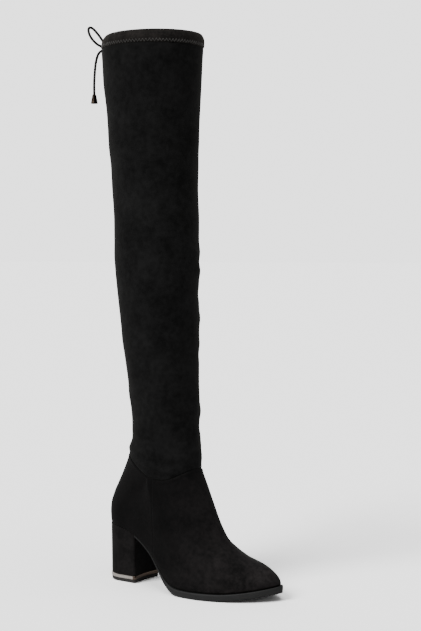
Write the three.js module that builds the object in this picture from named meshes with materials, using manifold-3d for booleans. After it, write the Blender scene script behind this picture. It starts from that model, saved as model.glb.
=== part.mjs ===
// A right thigh-high boot with a block heel, a pull-on stretch shaft, a side zip and a drawcord cuff.
// Millimetres. +X points to the toe, +Y to the inner side of the leg and +Z up.
// The origin is on the floor, under the middle of the heel tip.
import * as THREE from "three";
import { mergeVertices } from "three/addons/utils/BufferGeometryUtils.js";
import Module from "manifold-3d";

const wasm = await Module();
wasm.setup();

// Main sizes
const footLength = 228; // foot of the upper, along the floor from heel back to toe tip
const heelHeight = 68; // floor to the seat, at the back
const bootHeight = 633; // floor to the rim of the cuff
const seamHeight = 152; // floor to the ankle seam, at the back
const seamFrontHeight = 138; // floor to the ankle seam, at the front
const seamDipOuter = 17; // how far the ankle seam dips on the outer side
const seamDipInner = 10; // and on the inner side
const seatWidth = 50; // upper at the heel seat
const ballWidth = 82; // upper at the ball of the foot
const cuffDepth = 122; // shaft at the cuff, front to back
const cuffWidth = 107; // shaft at the cuff, side to side
const toeSwing = 8; // how far the toe tip turns to the inner side
const archDepth = 4.5; // how far the inner waist is drawn in
const ballTurn = 0.085; // how much wider the ball is on its outer side, as a share of its half width

// Places and bows of the form, as shares of the foot's length unless a line says otherwise
const legAt = 0.244; // middle of the leg at the ankle seam
const legLean = 0.018; // how far the leg's middle leans back from there to the rim
const cuffReach = 0.266; // half depth of the cuff in the table of the shaft
const waistAt = 0.33;
const waistReach = 0.12;
const swingFrom = 0.45; // where the foot starts to turn to the inner side
const swingBow = 1.6;
const ballShiftInner = 0.05; // the inner ball joint lies further forward, as a share of its ring
const ballShiftOuter = -0.02;
const dipRings = 5; // rings of the foot that follow the dip of the ankle seam
const dipFade = 0.16; // share of the shaft's height over which the dip fades
const dipLean = 1.45; // how far back the dip's lowest point lies
const dipBow = 1.1;

// Walls and seams
const footWall = 1.8;
const shaftWall = 1.5;
const cuffWall = 3.2;
const seamGap = 0.3;

// Sole
const soleThickness = 8;
const waistThickness = 3;
const toeSpring = 9;
const soleRim = 2; // how far the sole stands out round the forefoot
const waistRim = 0.4; // and at the waist
const soleEase = 0.7; // eased edges of the sole
const soleDraft = 0.2;
const soleUndercut = 0.8;
const thickenFrom = 0.3; // where along the foot the waist starts to thicken into the forefoot
const thickenReach = 0.24;
const insoleThickness = 2.5;
const insoleClearance = 0.5; // between the insole and the wall of the foot
const insoleEase = 0.4;

// Heel
const heelTipLength = 45.5;
const heelTipWidth = 46;
const heelTipThickness = 4;
const bandHeight = 4;
const bandWall = 1.2;
const bandProud = 0.5;
const seatOverhang = 1.25; // how far the seat stands out behind the heel tip
const breastHollow = 2.5;
const breastClearance = 0.5; // how far the heel's breast stands in front of the tip at the seat
const tipEase = 0.6;
const tipDraft = 0.3;
const heelBackCorner = 22;
const heelFrontCorner = 2.5;

// Zip on the inner side
const zipTopHeight = 336;
const zipFootHeight = 65; // floor to the lower end of the zip
const zipFootAt = 0.345; // where along the foot it ends
const zipSlotWidth = 6.6;
const zipTapeThickness = 0.9;
const zipCoilWidth = 2.8;
const zipCoilHeight = 0.9;
const zipTapeRecess = 0.25; // tape below the cloth's surface
const zipCoilRoot = 0.5;
const sliderDrop = 8.4; // middle of the slider below the top of the zip
const sliderLength = 10.5;
const sliderWidth = 8;
const sliderPlate = 1.5;
const bridgeWidth = 2.4;
const bridgeWire = 1.3;
const bridgeSpan = 4.2; // clear length under the bridge
const pullLength = 18;
const pullWidth = 7;
const pullThickness = 1.4;
const pullCorner = 1.4;
const pullSide = 1.7; // solid side of the pull, beside its window
const pullClearance = 0.35;
const pullTipFrame = 2.6; // solid foot of the pull, below its window
const pullNeck = 2; // solid bar between the eye and the window

// Drawcord at the back of the cuff
const cuffHeight = 15;
const cuffSwell = 0.9; // how far the hem bulges halfway up
const cuffEdge = 0.55; // wall at the hem's edges, as a share of its full wall
const cordDiameter = 3;
const cordHoleSpacing = 12;
const cordHoleRise = 8.5;
const knotDepth = 7.4;
const knotWidth = 9.2;
const knotHeight = 7.2;
const knotStandOff = 3.6; // gap between the knot and the cuff, which the two leads of the cord cross
const knotDrop = 1; // knot's middle below the cord holes
const cordEndLength = 10;
const cordEndTop = 4.4;
const cordEndFoot = 7.6;

// Mesh fineness
const columns = 40;
const footRings = 17;
const zipRings = 16;
const cuffRings = 6;
const columnStep = (2 * Math.PI) / columns;

const heelBack = -(heelTipLength / 2 + seatOverhang);
const along = (share) => heelBack + share * footLength;
const shareOf = (x) => (x - heelBack) / footLength;
const clamp = (value) => Math.min(1, Math.max(0, value));
const mix = (a, b, t) => a + (b - a) * t;
const smooth = (t) => clamp(t) ** 2 * (3 - 2 * clamp(t));

// A list of rows, each with its values under the names of the columns.
const table = (columns, rows) =>
  rows.map((row) => Object.fromEntries(columns.map((name, i) => [name, row[i]])));

// The bottom of the last in side view: "at" is a share of the foot's length, "lift" of the heel's lift,
// "spring" of the toe spring.
const bottomRows = table(
  ["at", "lift", "spring"],
  [
    [-0.05, 1.01, 0],
    [0.0, 1.0, 0],
    [0.11, 0.945, 0],
    [0.2, 0.84, 0],
    [0.26, 0.71, 0],
    [0.325, 0.53, 0],
    [0.38, 0.33, 0],
    [0.43, 0.16, 0],
    [0.49, 0.035, 0],
    [0.55, 0, 0],
    [0.7, 0, 0],
    [0.78, 0, 0.08],
    [0.87, 0, 0.36],
    [0.95, 0, 0.74],
    [1.04, 0, 1.2],
  ],
);

// Rings of the foot, from the feather edge to the ankle seam. "back" and "front" are where the ring ends
// along the foot, "backUp" and "frontUp" how high, as shares of the way to the seam. "seat" and "ball" are
// half widths as shares of half the seat's and the ball's width, "seatAt" and "ballAt" where along the ring
// they lie, "sag" how much of the sole's curve the ring follows and "point" how pointed its front is.
const footRows = table(
  ["back", "backUp", "front", "frontUp", "seat", "seatAt", "ball", "ballAt", "sag", "point"],
  [
    [0, 0, 0.993, 0, 1, 0.12, 1, 0.64, 1, 1],
    [0, 0.07, 0.986, 0.045, 1.045, 0.122, 1.02, 0.64, 0.88, 1],
    [0, 0.15, 0.962, 0.096, 1.08, 0.126, 0.96, 0.65, 0.74, 1],
    [0.002, 0.225, 0.914, 0.152, 1.1, 0.135, 0.89, 0.64, 0.6, 1],
    [0.007, 0.305, 0.835, 0.192, 1.11, 0.15, 0.85, 0.62, 0.46, 1],
    [0.017, 0.38, 0.758, 0.262, 1.11, 0.17, 0.83, 0.6, 0.34, 0.95],
    [0.03, 0.47, 0.7, 0.352, 1.11, 0.2, 0.82, 0.58, 0.22, 0.85],
    [0.05, 0.58, 0.652, 0.492, 1.12, 0.25, 0.825, 0.56, 0.12, 0.65],
    [0.074, 0.71, 0.609, 0.658, 1.17, 0.32, 0.84, 0.54, 0.05, 0.4],
    [0.1, 0.855, 0.564, 0.837, 1.26, 0.41, 0.86, 0.52, 0, 0.15],
    [0.124, 1, 0.525, 1, 1.39, 0.5, 0.85, 0.5, 0, 0],
  ],
);

// Rings of the shaft and cuff. "up" is a share of the way from the seam to the rim, "back" and "front" are
// shares of the foot's length, "half" is a share of half the cuff's width.
const shaftRows = table(
  ["up", "back", "front", "half"],
  [
    [0.025, 0.13, 0.524, 0.63],
    [0.05, 0.144, 0.515, 0.612],
    [0.085, 0.143, 0.508, 0.618],
    [0.14, 0.132, 0.508, 0.66],
    [0.2, 0.115, 0.502, 0.692],
    [0.265, 0.095, 0.5, 0.745],
    [0.33, 0.079, 0.498, 0.78],
    [0.39, 0.064, 0.495, 0.812],
    [0.45, 0.051, 0.493, 0.835],
    [0.515, 0.047, 0.493, 0.84],
    [0.575, 0.045, 0.494, 0.845],
    [0.64, 0.034, 0.488, 0.852],
    [0.7, 0.027, 0.49, 0.87],
    [0.76, 0.014, 0.489, 0.89],
    [0.825, 0.004, 0.497, 0.925],
    [0.885, -0.012, 0.503, 0.97],
    [0.935, -0.018, 0.508, 0.99],
    [0.967, -0.022, 0.513, 1.0],
    [0.985, -0.014, 0.514, 1.0],
    [1.0, 0.004, 0.505, 0.955],
  ],
);
const seamLevel = footRows.length - 1;
const topLevel = seamLevel + shaftRows.length;

// Uniform Catmull-Rom through one column of a table, at a fractional row.
function spline(rows, column, level) {
  const row = (k) => rows[Math.min(rows.length - 1, Math.max(0, k))][column];
  const k = Math.min(rows.length - 2, Math.max(0, Math.floor(level)));
  const t = level - k;
  const [a, b, c, d] = [row(k - 1), row(k), row(k + 1), row(k + 2)];
  return b + 0.5 * t * (c - a + t * (2 * a - 5 * b + 4 * c - d + t * (3 * (b - c) + d - a)));
}

// Height of the feather edge above the floor, at a place along the foot.
function featherHeight(x) {
  const share = shareOf(x);
  const rows = bottomRows;
  const k = Math.max(0, Math.min(rows.length - 2, rows.findIndex((r) => r.at > share) - 1));
  const level = k + clamp((share - rows[k].at) / (rows[k + 1].at - rows[k].at));
  const at = share >= rows.at(-1).at ? rows.length - 1 : level;
  const lift = (heelHeight - soleThickness) * spline(rows, "lift", at);
  return soleThickness + lift + toeSpring * spline(rows, "spring", at);
}

const toeHeight = featherHeight(along(1));

// Every ring of the boot in millimetres, foot first and shaft after it.
const rings = [
  ...footRows.map((r, k) => ({
    backX: along(r.back),
    backZ: mix(heelHeight, seamHeight, r.backUp),
    frontX: along(r.front),
    frontZ: mix(toeHeight, seamFrontHeight, r.frontUp),
    seat: (r.seat * seatWidth) / 2,
    seatAt: r.seatAt,
    ball: (r.ball * ballWidth) / 2,
    ballAt: r.ballAt,
    sag: r.sag,
    point: r.point,
    dip: smooth((k - seamLevel + dipRings) / dipRings),
  })),
  ...shaftRows.map((r) => {
    const middle = along(legAt - legLean * r.up);
    const reach = cuffDepth / 2 / (cuffReach * footLength);
    return {
      backX: middle + (along(r.back) - middle) * reach,
      backZ: mix(seamHeight, bootHeight, r.up),
      frontX: middle + (along(r.front) - middle) * reach,
      frontZ: mix(seamFrontHeight, bootHeight, r.up),
      seat: (r.half * cuffWidth) / 2,
      seatAt: 0.5,
      ball: (r.half * cuffWidth) / 2,
      ballAt: 0.5,
      sag: 0,
      point: 0,
      dip: 1 - smooth(r.up / dipFade),
    };
  }),
];

// Half width of a ring at a share of its own length, before the waist is drawn in.
function halfWidth(ring, share, ball, ballAt) {
  if (share < ring.seatAt) return ring.seat * Math.sqrt(1 - ((ring.seatAt - share) / ring.seatAt) ** 2);
  if (share < ballAt) return mix(ring.seat, ball, smooth((share - ring.seatAt) / (ballAt - ring.seatAt)));
  const bow = 2 - 0.2 * ring.point;
  const tip = 2 - 0.45 * ring.point;
  return ball * (1 - clamp((share - ballAt) / (1 - ballAt)) ** bow) ** (1 / tip);
}

// The ring at a level, between the rows of the table.
function ringAt(level) {
  const ring = {};
  for (const key of Object.keys(rings[0])) ring[key] = spline(rings, key, level);
  return ring;
}

// A point of the boot's outer surface. The level counts rings from the feather edge, and the angle runs
// from the back (0) round the outer side to the front (pi) and back round the inner side.
function outerPoint(level, angle) {
  const ring = ringAt(level);
  const share = (1 - Math.cos(angle)) / 2;
  const inner = Math.sin(angle) < 0;
  const x = mix(ring.backX, ring.frontX, share);
  const footShare = shareOf(x);
  const ballAt = ring.ballAt + (inner ? ballShiftInner : ballShiftOuter) * ring.point;
  const waist = Math.exp(-(((footShare - waistAt) / waistReach) ** 2)) * ring.sag;
  const half = halfWidth(ring, share, ring.ball * (1 + (inner ? -1 : 1) * ballTurn * ring.point), ballAt);
  const drawn = half - waist * archDepth * (inner ? 1 : 0.5) * Math.abs(Math.sin(angle));
  const swing = toeSwing * clamp((footShare - swingFrom) / (1 - swingFrom)) ** swingBow;
  const chord = mix(featherHeight(ring.backX), featherHeight(ring.frontX), share);
  const dipShape = Math.sin(Math.PI * share ** dipLean) ** dipBow;
  const dip = ring.dip * (inner ? seamDipInner : seamDipOuter) * dipShape;
  const z = mix(ring.backZ, ring.frontZ, share) + ring.sag * (featherHeight(x) - chord) - dip;
  return new THREE.Vector3(x, (inner ? drawn : -drawn) + swing, z);
}

// Outward unit normal of the outer surface.
function outerNormal(level, angle) {
  const step = 0.04;
  const low = Math.max(0, level - step);
  const high = Math.min(topLevel, level + step);
  const round = outerPoint(level, angle + step).sub(outerPoint(level, angle - step));
  const rise = outerPoint(high, angle).sub(outerPoint(low, angle));
  return round.cross(rise).normalize();
}

// The outer surface moved outwards by a distance.
const offsetPoint = (level, angle, distance) =>
  outerPoint(level, angle).addScaledVector(outerNormal(level, angle), distance);

const angles = Array.from({ length: columns }, (_, j) => j * columnStep);

// The level, between two others, at which the surface has a height, at an angle that may change with it.
function levelAtHeight(height, angleAt, low = 0, high = topLevel) {
  for (let i = 0; i < 40; i++) {
    const middle = (low + high) / 2;
    if (outerPoint(middle, angleAt(middle)).z < height) low = middle;
    else high = middle;
  }
  return (low + high) / 2;
}

// A closed mesh from loops of points that follow each other: each loop has as many points, neighbouring
// loops are joined, and the last loop is joined to the first or both ends are capped. A loop may start in
// the middle of a hollow, which then reaches "hollow" points to both sides.
function loft(loops, capped, hollow = 0) {
  const n = loops[0].length;
  const positions = loops.flat().flatMap((p) => [p.x, p.y, p.z]);
  const faces = [];
  const last = capped ? loops.length - 1 : loops.length;
  for (let i = 0; i < last; i++)
    for (let j = 0; j < n; j++) {
      const next = (i + 1) % loops.length;
      const [a, b] = [i * n + j, i * n + ((j + 1) % n)];
      const [c, d] = [next * n + j, next * n + ((j + 1) % n)];
      faces.push(a, b, d, a, d, c);
    }
  if (capped) {
    faces.push(...capFaces(loops[0], 0, true, hollow));
    faces.push(...capFaces(loops.at(-1), (loops.length - 1) * n, false, hollow));
  }
  const geometry = new THREE.BufferGeometry();
  geometry.setAttribute("position", new THREE.Float32BufferAttribute(positions, 3));
  geometry.setIndex(faces);
  return outward(geometry);
}

// Faces of an end: strips between the points that face each other across the loop, and ears round a hollow.
function capFaces(loop, first, turned, hollow) {
  const n = loop.length;
  const faces = [];
  const add = (a, b, c) => faces.push(...(turned ? [a, c, b] : [a, b, c]).map((k) => first + k));
  const front = Array.from({ length: 2 * hollow + 1 }, (_, i) => (n + i - hollow) % n);
  const flat = (k) => new THREE.Vector2(loop[k].x, loop[k].y);
  const sense = Math.sign(THREE.ShapeUtils.area(loop.map((_, k) => flat(k))));
  for (const ear of hollow ? THREE.ShapeUtils.triangulateShape(front.map(flat), []) : []) {
    const [a, b, c] = ear.map((k) => front[k]);
    if (THREE.ShapeUtils.area([a, b, c].map(flat)) * sense > 0) add(a, b, c);
    else add(a, c, b);
  }
  for (let k = hollow; k < n / 2; k++) {
    const [a, b, c, d] = [k, k + 1, (n - k) % n, n - k - 1];
    if (k > 0) add(a, b, c);
    if (b !== d) add(c, b, d);
  }
  return faces;
}

// The same closed mesh, turned round if its faces point inwards.
function outward(geometry) {
  const p = geometry.getAttribute("position");
  const index = geometry.index.array;
  const corner = (k) => new THREE.Vector3().fromBufferAttribute(p, index[k]);
  let volume = 0;
  for (let i = 0; i < index.length; i += 3)
    volume += corner(i).dot(corner(i + 1).cross(corner(i + 2)));
  if (volume < 0)
    for (let i = 0; i < index.length; i += 3) [index[i + 1], index[i + 2]] = [index[i + 2], index[i + 1]];
  geometry.computeVertexNormals();
  return geometry;
}

// A solid for cutting and joining.
function solid(geometry) {
  const bare = new THREE.BufferGeometry();
  bare.setAttribute("position", geometry.getAttribute("position").clone());
  if (geometry.index) bare.setIndex(geometry.index.clone());
  const merged = mergeVertices(bare, 1e-4);
  return new wasm.Manifold(
    new wasm.Mesh({
      numProp: 3,
      vertProperties: new Float32Array(merged.attributes.position.array),
      triVerts: new Uint32Array(merged.index.array),
    }),
  );
}

// A geometry from a solid.
function geometryOf(manifold) {
  const mesh = manifold.getMesh();
  const geometry = new THREE.BufferGeometry();
  geometry.setAttribute("position", new THREE.Float32BufferAttribute(mesh.vertProperties, 3));
  geometry.setIndex(new THREE.Uint32BufferAttribute(mesh.triVerts, 1));
  geometry.computeVertexNormals();
  return geometry;
}

// A hollow wall between two levels: the outer surface up, and the inner surface down.
function wallBetween(levels, outOf, inOf) {
  const outer = levels.map((t, i) => angles.map((a) => offsetPoint(t, a, outOf(i))));
  const inner = levels.map((t, i) => angles.map((a) => offsetPoint(t, a, -inOf(i)))).reverse();
  return loft([...outer, ...inner], false);
}

const stepsBetween = (low, high, count) =>
  Array.from({ length: count + 1 }, (_, i) => mix(low, high, i / count));

// How much of a level the seam gap takes at the ankle and at the cuff.
const levelShare = (level) =>
  (0.5 * seamGap) / outerPoint(level + 0.5, Math.PI / 2).distanceTo(outerPoint(level - 0.5, Math.PI / 2));

const cuffLevel = levelAtHeight(bootHeight - cuffHeight, () => Math.PI / 2);
const seamShare = levelShare(seamLevel);
const cuffShare = levelShare(cuffLevel);

// Zip: it runs down the middle of the shaft's inner side and leans forwards a little on the foot.
const zipFootRing = 3;

function zipAngle(level) {
  const ring = ringAt(level);
  const seam = rings[seamLevel];
  const fall = clamp((seamLevel - level) / (seamLevel - zipFootRing));
  const x = mix((seam.backX + seam.frontX) / 2, along(zipFootAt), fall);
  const share = level > seamLevel ? 0.5 : (x - ring.backX) / (ring.frontX - ring.backX);
  return 2 * Math.PI - Math.acos(1 - 2 * share);
}

const zipLowLevel = levelAtHeight(zipFootHeight, zipAngle, 0, seamLevel);
const zipTopLevel = levelAtHeight(zipTopHeight, zipAngle, seamLevel, cuffLevel);

// A bar that follows the zip's path, with how far it stands out of the surface and how deep it goes in.
function zipBar(low, high, width, out, depth) {
  const loops = stepsBetween(low, high, zipRings).map((level) => {
    const p = outerPoint(level, zipAngle(level));
    const n = outerNormal(level, zipAngle(level));
    const side = new THREE.Vector3(width / 2, 0, 0);
    const [top, foot] = [p.clone().addScaledVector(n, out), p.clone().addScaledVector(n, -depth)];
    return [top.clone().sub(side), top.clone().add(side), foot.clone().add(side), foot.clone().sub(side)];
  });
  return loft(loops, true);
}

const slotReach = shaftWall;
const slotDepth = shaftWall + footWall;
const zipSlot = solid(zipBar(zipLowLevel, zipTopLevel, zipSlotWidth, slotReach, slotDepth));

// Foot of the upper: vamp and quarters in one wall, from the feather edge to the ankle seam.
function footUpper() {
  const levels = stepsBetween(0, seamLevel - seamShare, footRings);
  const wall = wallBetween(levels, () => 0, () => footWall);
  return geometryOf(solid(wall).subtract(zipSlot));
}

// Shaft: the stretch tube from the ankle seam to the stitch line of the cuff.
function shaft() {
  const rows = Array.from({ length: Math.floor(cuffLevel) - seamLevel }, (_, i) => seamLevel + 1 + i);
  const levels = [seamLevel + seamShare, ...rows, cuffLevel - cuffShare];
  const wall = wallBetween(levels, () => 0, () => shaftWall);
  return geometryOf(solid(wall).subtract(zipSlot));
}

// Cuff: the turned hem that holds the drawcord, thickest halfway up, with two holes at the back.
const cordHoleHeight = bootHeight - cuffHeight + cordHoleRise;
const cordHoleLevel = levelAtHeight(cordHoleHeight, () => 0, cuffLevel, topLevel);
const cuffBackX = outerPoint(cordHoleLevel, 0).x;

function cuff() {
  const levels = stepsBetween(cuffLevel + cuffShare, topLevel, cuffRings);
  const bulge = (i) => Math.sin((Math.PI * i) / cuffRings);
  const out = (i) => cuffSwell * bulge(i);
  const wall = wallBetween(levels, out, (i) => cuffWall * mix(cuffEdge, 1, bulge(i)) - out(i));
  let made = solid(wall);
  const bore = cordDiameter / 2 + seamGap;
  for (const side of [-1, 1]) {
    const drill = new THREE.CylinderGeometry(bore, bore, 4 * cuffWall, 16);
    drill.rotateZ(Math.PI / 2);
    drill.translate(cuffBackX, (side * cordHoleSpacing) / 2, cordHoleHeight);
    made = made.subtract(solid(drill));
  }
  return geometryOf(made);
}

// Outline of the foot in plan, moved in or out by a distance that may change along the foot.
function footOutline(distanceAt) {
  return angles.map((angle) => {
    const step = 0.03;
    const p = outerPoint(0, angle);
    const run = outerPoint(0, angle + step).sub(outerPoint(0, angle - step));
    const out = new THREE.Vector3(run.y, -run.x, 0).normalize();
    return p.addScaledVector(out, distanceAt(p.x));
  });
}

// Bottom of the sole in side view: flat under the ball, thin at the waist, sprung at the toe.
function soleBottom(x) {
  const thick = mix(waistThickness, soleThickness, smooth((shareOf(x) - thickenFrom) / thickenReach));
  return Math.max(0, featherHeight(x) - thick);
}

const breastX = heelTipLength / 2 + breastClearance;

// Outsole: a slab from the toe to the heel breast, standing out round the forefoot, with eased edges.
function outsole() {
  const rim = (x) => mix(waistRim, soleRim, smooth((shareOf(x) - thickenFrom) / thickenReach));
  const layers = [
    { inset: soleEase, height: (x) => featherHeight(x) - seamGap },
    { inset: 0, height: (x) => featherHeight(x) - seamGap - soleEase },
    { inset: soleDraft, height: (x) => soleBottom(x) + 1.5 * soleEase },
    { inset: soleEase + soleUndercut, height: (x) => soleBottom(x) },
  ];
  const loops = layers.map(({ inset, height }) =>
    footOutline((x) => rim(x) - inset).map((p) => new THREE.Vector3(p.x, p.y, height(p.x))),
  );
  const behind = new THREE.BoxGeometry(footLength, footLength, 2 * heelHeight);
  behind.translate(breastX + seamGap - footLength / 2, 0, heelHeight);
  return geometryOf(solid(loft(loops, true)).subtract(solid(behind)));
}

// Insole: the padded footbed inside the upper, on the sole and the heel's seat.
function insole() {
  const inset = footWall + insoleClearance;
  const layers = [
    { inset: inset + insoleEase, height: seamGap },
    { inset, height: seamGap + insoleEase },
    { inset, height: insoleThickness - insoleEase },
    { inset: inset + 2 * insoleEase, height: insoleThickness },
  ];
  return loft(
    layers.map(({ inset: d, height }) =>
      footOutline(() => -d).map((p) => new THREE.Vector3(p.x, p.y, featherHeight(p.x) + height)),
    ),
    true,
  );
}

// One outline of the heel: a hollow breast, small front corners, straight sides and a round back.
const breastSteps = 4;
const cornerSteps = 3;
const backSteps = 7;
const hollowPoints = breastSteps + cornerSteps + 1;

function heelOutline(back, front, half, cornerX, cornerY) {
  const points = [];
  const f = heelFrontCorner;
  for (let i = 0; i <= breastSteps; i++) {
    const y = -((half - f) * i) / breastSteps;
    points.push([front - breastHollow * (1 - (y / (half - f)) ** 2), y]);
  }
  for (let i = 1; i <= cornerSteps; i++) {
    const turn = (Math.PI / 2) * (i / cornerSteps);
    points.push([front - f + f * Math.cos(turn), -(half - f) - f * Math.sin(turn)]);
  }
  for (let i = 0; i <= backSteps; i++) {
    const turn = (Math.PI / 2) * (i / backSteps);
    points.push([back + cornerX - cornerX * Math.sin(turn), -(half - cornerY) - cornerY * Math.cos(turn)]);
  }
  points.push([back, 0]);
  const mirrored = points.slice(1, -1).reverse();
  return [...points, ...mirrored.map(([x, y]) => [x, -y])];
}

// The heel's outline at a share of its height, moved out by a distance: square at the tip, round at the seat.
function heelLoop(share, out, heightAt) {
  const t = (smooth(share) + share) / 2;
  const back = mix(-heelTipLength / 2, heelBack, t) - out;
  const front = mix(heelTipLength / 2, breastX, t) + out;
  const half = mix(heelTipWidth, seatWidth, t) / 2 + out;
  const cornerX = mix(heelBackCorner, footLength * footRows[0].seatAt, t) + out;
  const cornerY = mix(heelBackCorner, seatWidth / 2, t) + out;
  return heelOutline(back, front, half, cornerX, Math.min(cornerY, half)).map(
    ([x, y]) => new THREE.Vector3(x, y, heightAt(x)),
  );
}

// Heel block, from the band up to the seat, with a neck that the metal band goes round.
const bandFoot = heelTipThickness + seamGap;
const bandTop = bandFoot + bandHeight;

function heelBlock() {
  const neck = -(bandWall - bandProud) - seamGap;
  const seat = (x) => featherHeight(x) - seamGap;
  const at = (share) => (x) => mix(bandTop + seamGap, seat(x), share);
  const loops = [
    heelLoop(0, neck, () => bandFoot),
    heelLoop(0, neck, () => bandTop + seamGap),
    heelLoop(0, 0, at(0)),
    ...[0.12, 0.3, 0.5, 0.7, 0.88, 1].map((share) => heelLoop(share, 0, at(share))),
  ];
  return loft(loops, true, hollowPoints);
}

// Metal band round the foot of the heel.
function heelBand() {
  const prism = (out, low, high) =>
    solid(loft([heelLoop(0, out, () => low), heelLoop(0, out, () => high)], true, hollowPoints));
  const hole = prism(bandProud - bandWall, bandFoot - bandHeight, bandTop + bandHeight);
  return geometryOf(prism(bandProud, bandFoot, bandTop).subtract(hole));
}

// Heel tip: the flat lift that the heel stands on.
function heelTip() {
  return loft(
    [
      heelLoop(0, -tipEase - tipDraft, () => 0),
      heelLoop(0, -tipDraft, () => tipEase),
      heelLoop(0, 0, () => heelTipThickness),
    ],
    true,
    hollowPoints,
  );
}

// Zip chain: the tape in its slot, with the coil raised along its middle. It stops a small share of a level
// short of the slot's ends.
const zipEndGap = 0.05;

function zipChain() {
  const width = zipSlotWidth - 2 * seamGap;
  const [low, high] = [zipLowLevel + zipEndGap, zipTopLevel - zipEndGap];
  const tape = zipBar(low, high, width, -zipTapeRecess, zipTapeThickness + zipTapeRecess);
  const coilTop = zipCoilHeight - zipTapeRecess;
  const coil = zipBar(low + zipEndGap, high - zipEndGap, zipCoilWidth, coilTop, zipCoilRoot);
  return geometryOf(solid(tape).add(solid(coil)));
}

// Slider and pull share a frame at the slider's middle: y runs up the leg and z out of it.
const sliderLevel = levelAtHeight(zipTopHeight - sliderDrop, zipAngle, seamLevel, cuffLevel);
const sliderPlace = outerPoint(sliderLevel, zipAngle(sliderLevel));
const sliderNormal = outerNormal(sliderLevel, zipAngle(sliderLevel)).setX(0).normalize();
const sliderFoot = zipCoilHeight - zipTapeRecess + seamGap;
const plateTop = sliderFoot + sliderPlate;
const barRoom = Math.hypot(pullThickness, pullThickness) / 2 + pullClearance; // round the pull's turning bar
const pivotRise = plateTop + barRoom;
const bridgeTop = pivotRise + barRoom + bridgeWire;
const bridgeEnd = bridgeSpan / 2 + bridgeWire;

// A plate with bevelled edges from an outline.
function plate(shape, thickness, bevel) {
  const geometry = new THREE.ExtrudeGeometry(shape, {
    depth: thickness - 2 * bevel,
    bevelEnabled: true,
    bevelThickness: bevel,
    bevelSize: bevel,
    bevelOffset: -bevel,
    bevelSegments: 1,
    curveSegments: 3,
  });
  geometry.translate(0, 0, bevel);
  return geometry;
}

function roundedBox(width, height, radius) {
  const shape = new THREE.Shape();
  const [w, h] = [width / 2, height / 2];
  shape.absarc(w - radius, h - radius, radius, 0, Math.PI / 2);
  shape.absarc(-w + radius, h - radius, radius, Math.PI / 2, Math.PI);
  shape.absarc(-w + radius, -h + radius, radius, Math.PI, 1.5 * Math.PI);
  shape.absarc(w - radius, -h + radius, radius, 1.5 * Math.PI, 2 * Math.PI);
  return shape;
}

// Slider: a plate, wide at the top and narrow at the foot, with a bridge over it for the pull.
function zipSlider() {
  const [w, l] = [sliderWidth / 2, sliderLength / 2];
  const body = new THREE.Shape();
  body.moveTo(-w * 0.45, -l);
  body.lineTo(w * 0.45, -l);
  body.quadraticCurveTo(w * 0.75, -l * 0.6, w * 0.8, 0);
  body.quadraticCurveTo(w, l * 0.55, w, l * 0.75);
  body.quadraticCurveTo(w * 0.6, l, 0, l);
  body.quadraticCurveTo(-w * 0.6, l, -w, l * 0.75);
  body.quadraticCurveTo(-w, l * 0.55, -w * 0.8, 0);
  body.quadraticCurveTo(-w * 0.75, -l * 0.6, -w * 0.45, -l);
  let made = solid(plate(body, sliderPlate, 0.35).translate(0, 0, sliderFoot));
  const root = sliderFoot + sliderPlate / 2;
  for (const end of [-1, 1]) {
    const post = new THREE.BoxGeometry(bridgeWidth, bridgeWire, bridgeTop - root);
    post.translate(0, (end * (bridgeSpan + bridgeWire)) / 2, (bridgeTop + root) / 2);
    made = made.add(solid(post));
  }
  const bar = new THREE.BoxGeometry(bridgeWidth, 2 * bridgeEnd, bridgeWire);
  bar.translate(0, 0, bridgeTop - bridgeWire / 2);
  return geometryOf(made.add(solid(bar)));
}

// Pull: a framed tab whose upper bar turns under the bridge. Its middle bar is the origin.
function zipPull() {
  const shape = roundedBox(pullWidth, pullLength, pullCorner);
  const barHeight = pullLength / 2 - pullThickness / 2;
  const eyeHalf = bridgeWidth / 2 + pullClearance;
  const eyeTop = barHeight - pullThickness / 2;
  const eyeFoot = barHeight - Math.hypot(bridgeTop - pivotRise, bridgeEnd) - pullClearance;
  const windowHalf = pullWidth / 2 - pullSide;
  shape.holes.push(
    rectangle(eyeHalf, eyeFoot, eyeTop),
    rectangle(windowHalf, pullTipFrame - pullLength / 2, eyeFoot - pullNeck),
  );
  return plate(shape, pullThickness, 0.3).translate(0, -barHeight, -pullThickness / 2);
}

function rectangle(half, foot, top) {
  const path = new THREE.Path();
  path.moveTo(-half, foot);
  path.lineTo(-half, top);
  path.lineTo(half, top);
  path.lineTo(half, foot);
  path.closePath();
  return path;
}

// Drawcord: it leaves the cuff by its two holes and is tied in a bow. Points are measured from the middle
// of the knot, x forwards, y sideways from the middle and z up.
const knotPlace = new THREE.Vector3(
  cuffBackX - knotStandOff - knotDepth / 2,
  0,
  cordHoleHeight - knotDrop,
);

const outerLoop = [
  [-0.6, 3.3, 3.5],
  [-1.8, 5.4, 6.0],
  [-5.0, 8.5, 12.6],
  [-8.6, 12.0, 18.7],
  [-11.3, 15.5, 22.2],
  [-12.7, 18.3, 21.9],
  [-12.4, 20.0, 18.6],
  [-10.9, 19.5, 13.2],
  [-8.8, 16.5, 7.8],
  [-6.0, 12.0, 3.3],
  [-3.7, 7.6, 0.9],
  [-3.2, 4.3, 0.4],
];

const innerLoop = [
  [-0.7, 3.7, 3.6],
  [-1.8, 6.6, 5.7],
  [-2.4, 10.6, 5.6],
  [-2.8, 15.0, 3.8],
  [-3.2, 18.4, 0.3],
  [-3.6, 19.2, -3.8],
  [-4.0, 17.4, -6.9],
  [-4.0, 13.8, -7.2],
  [-3.8, 10.0, -4.8],
  [-3.3, 6.6, -1.9],
  [-3.4, 4.5, -0.1],
];

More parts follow.
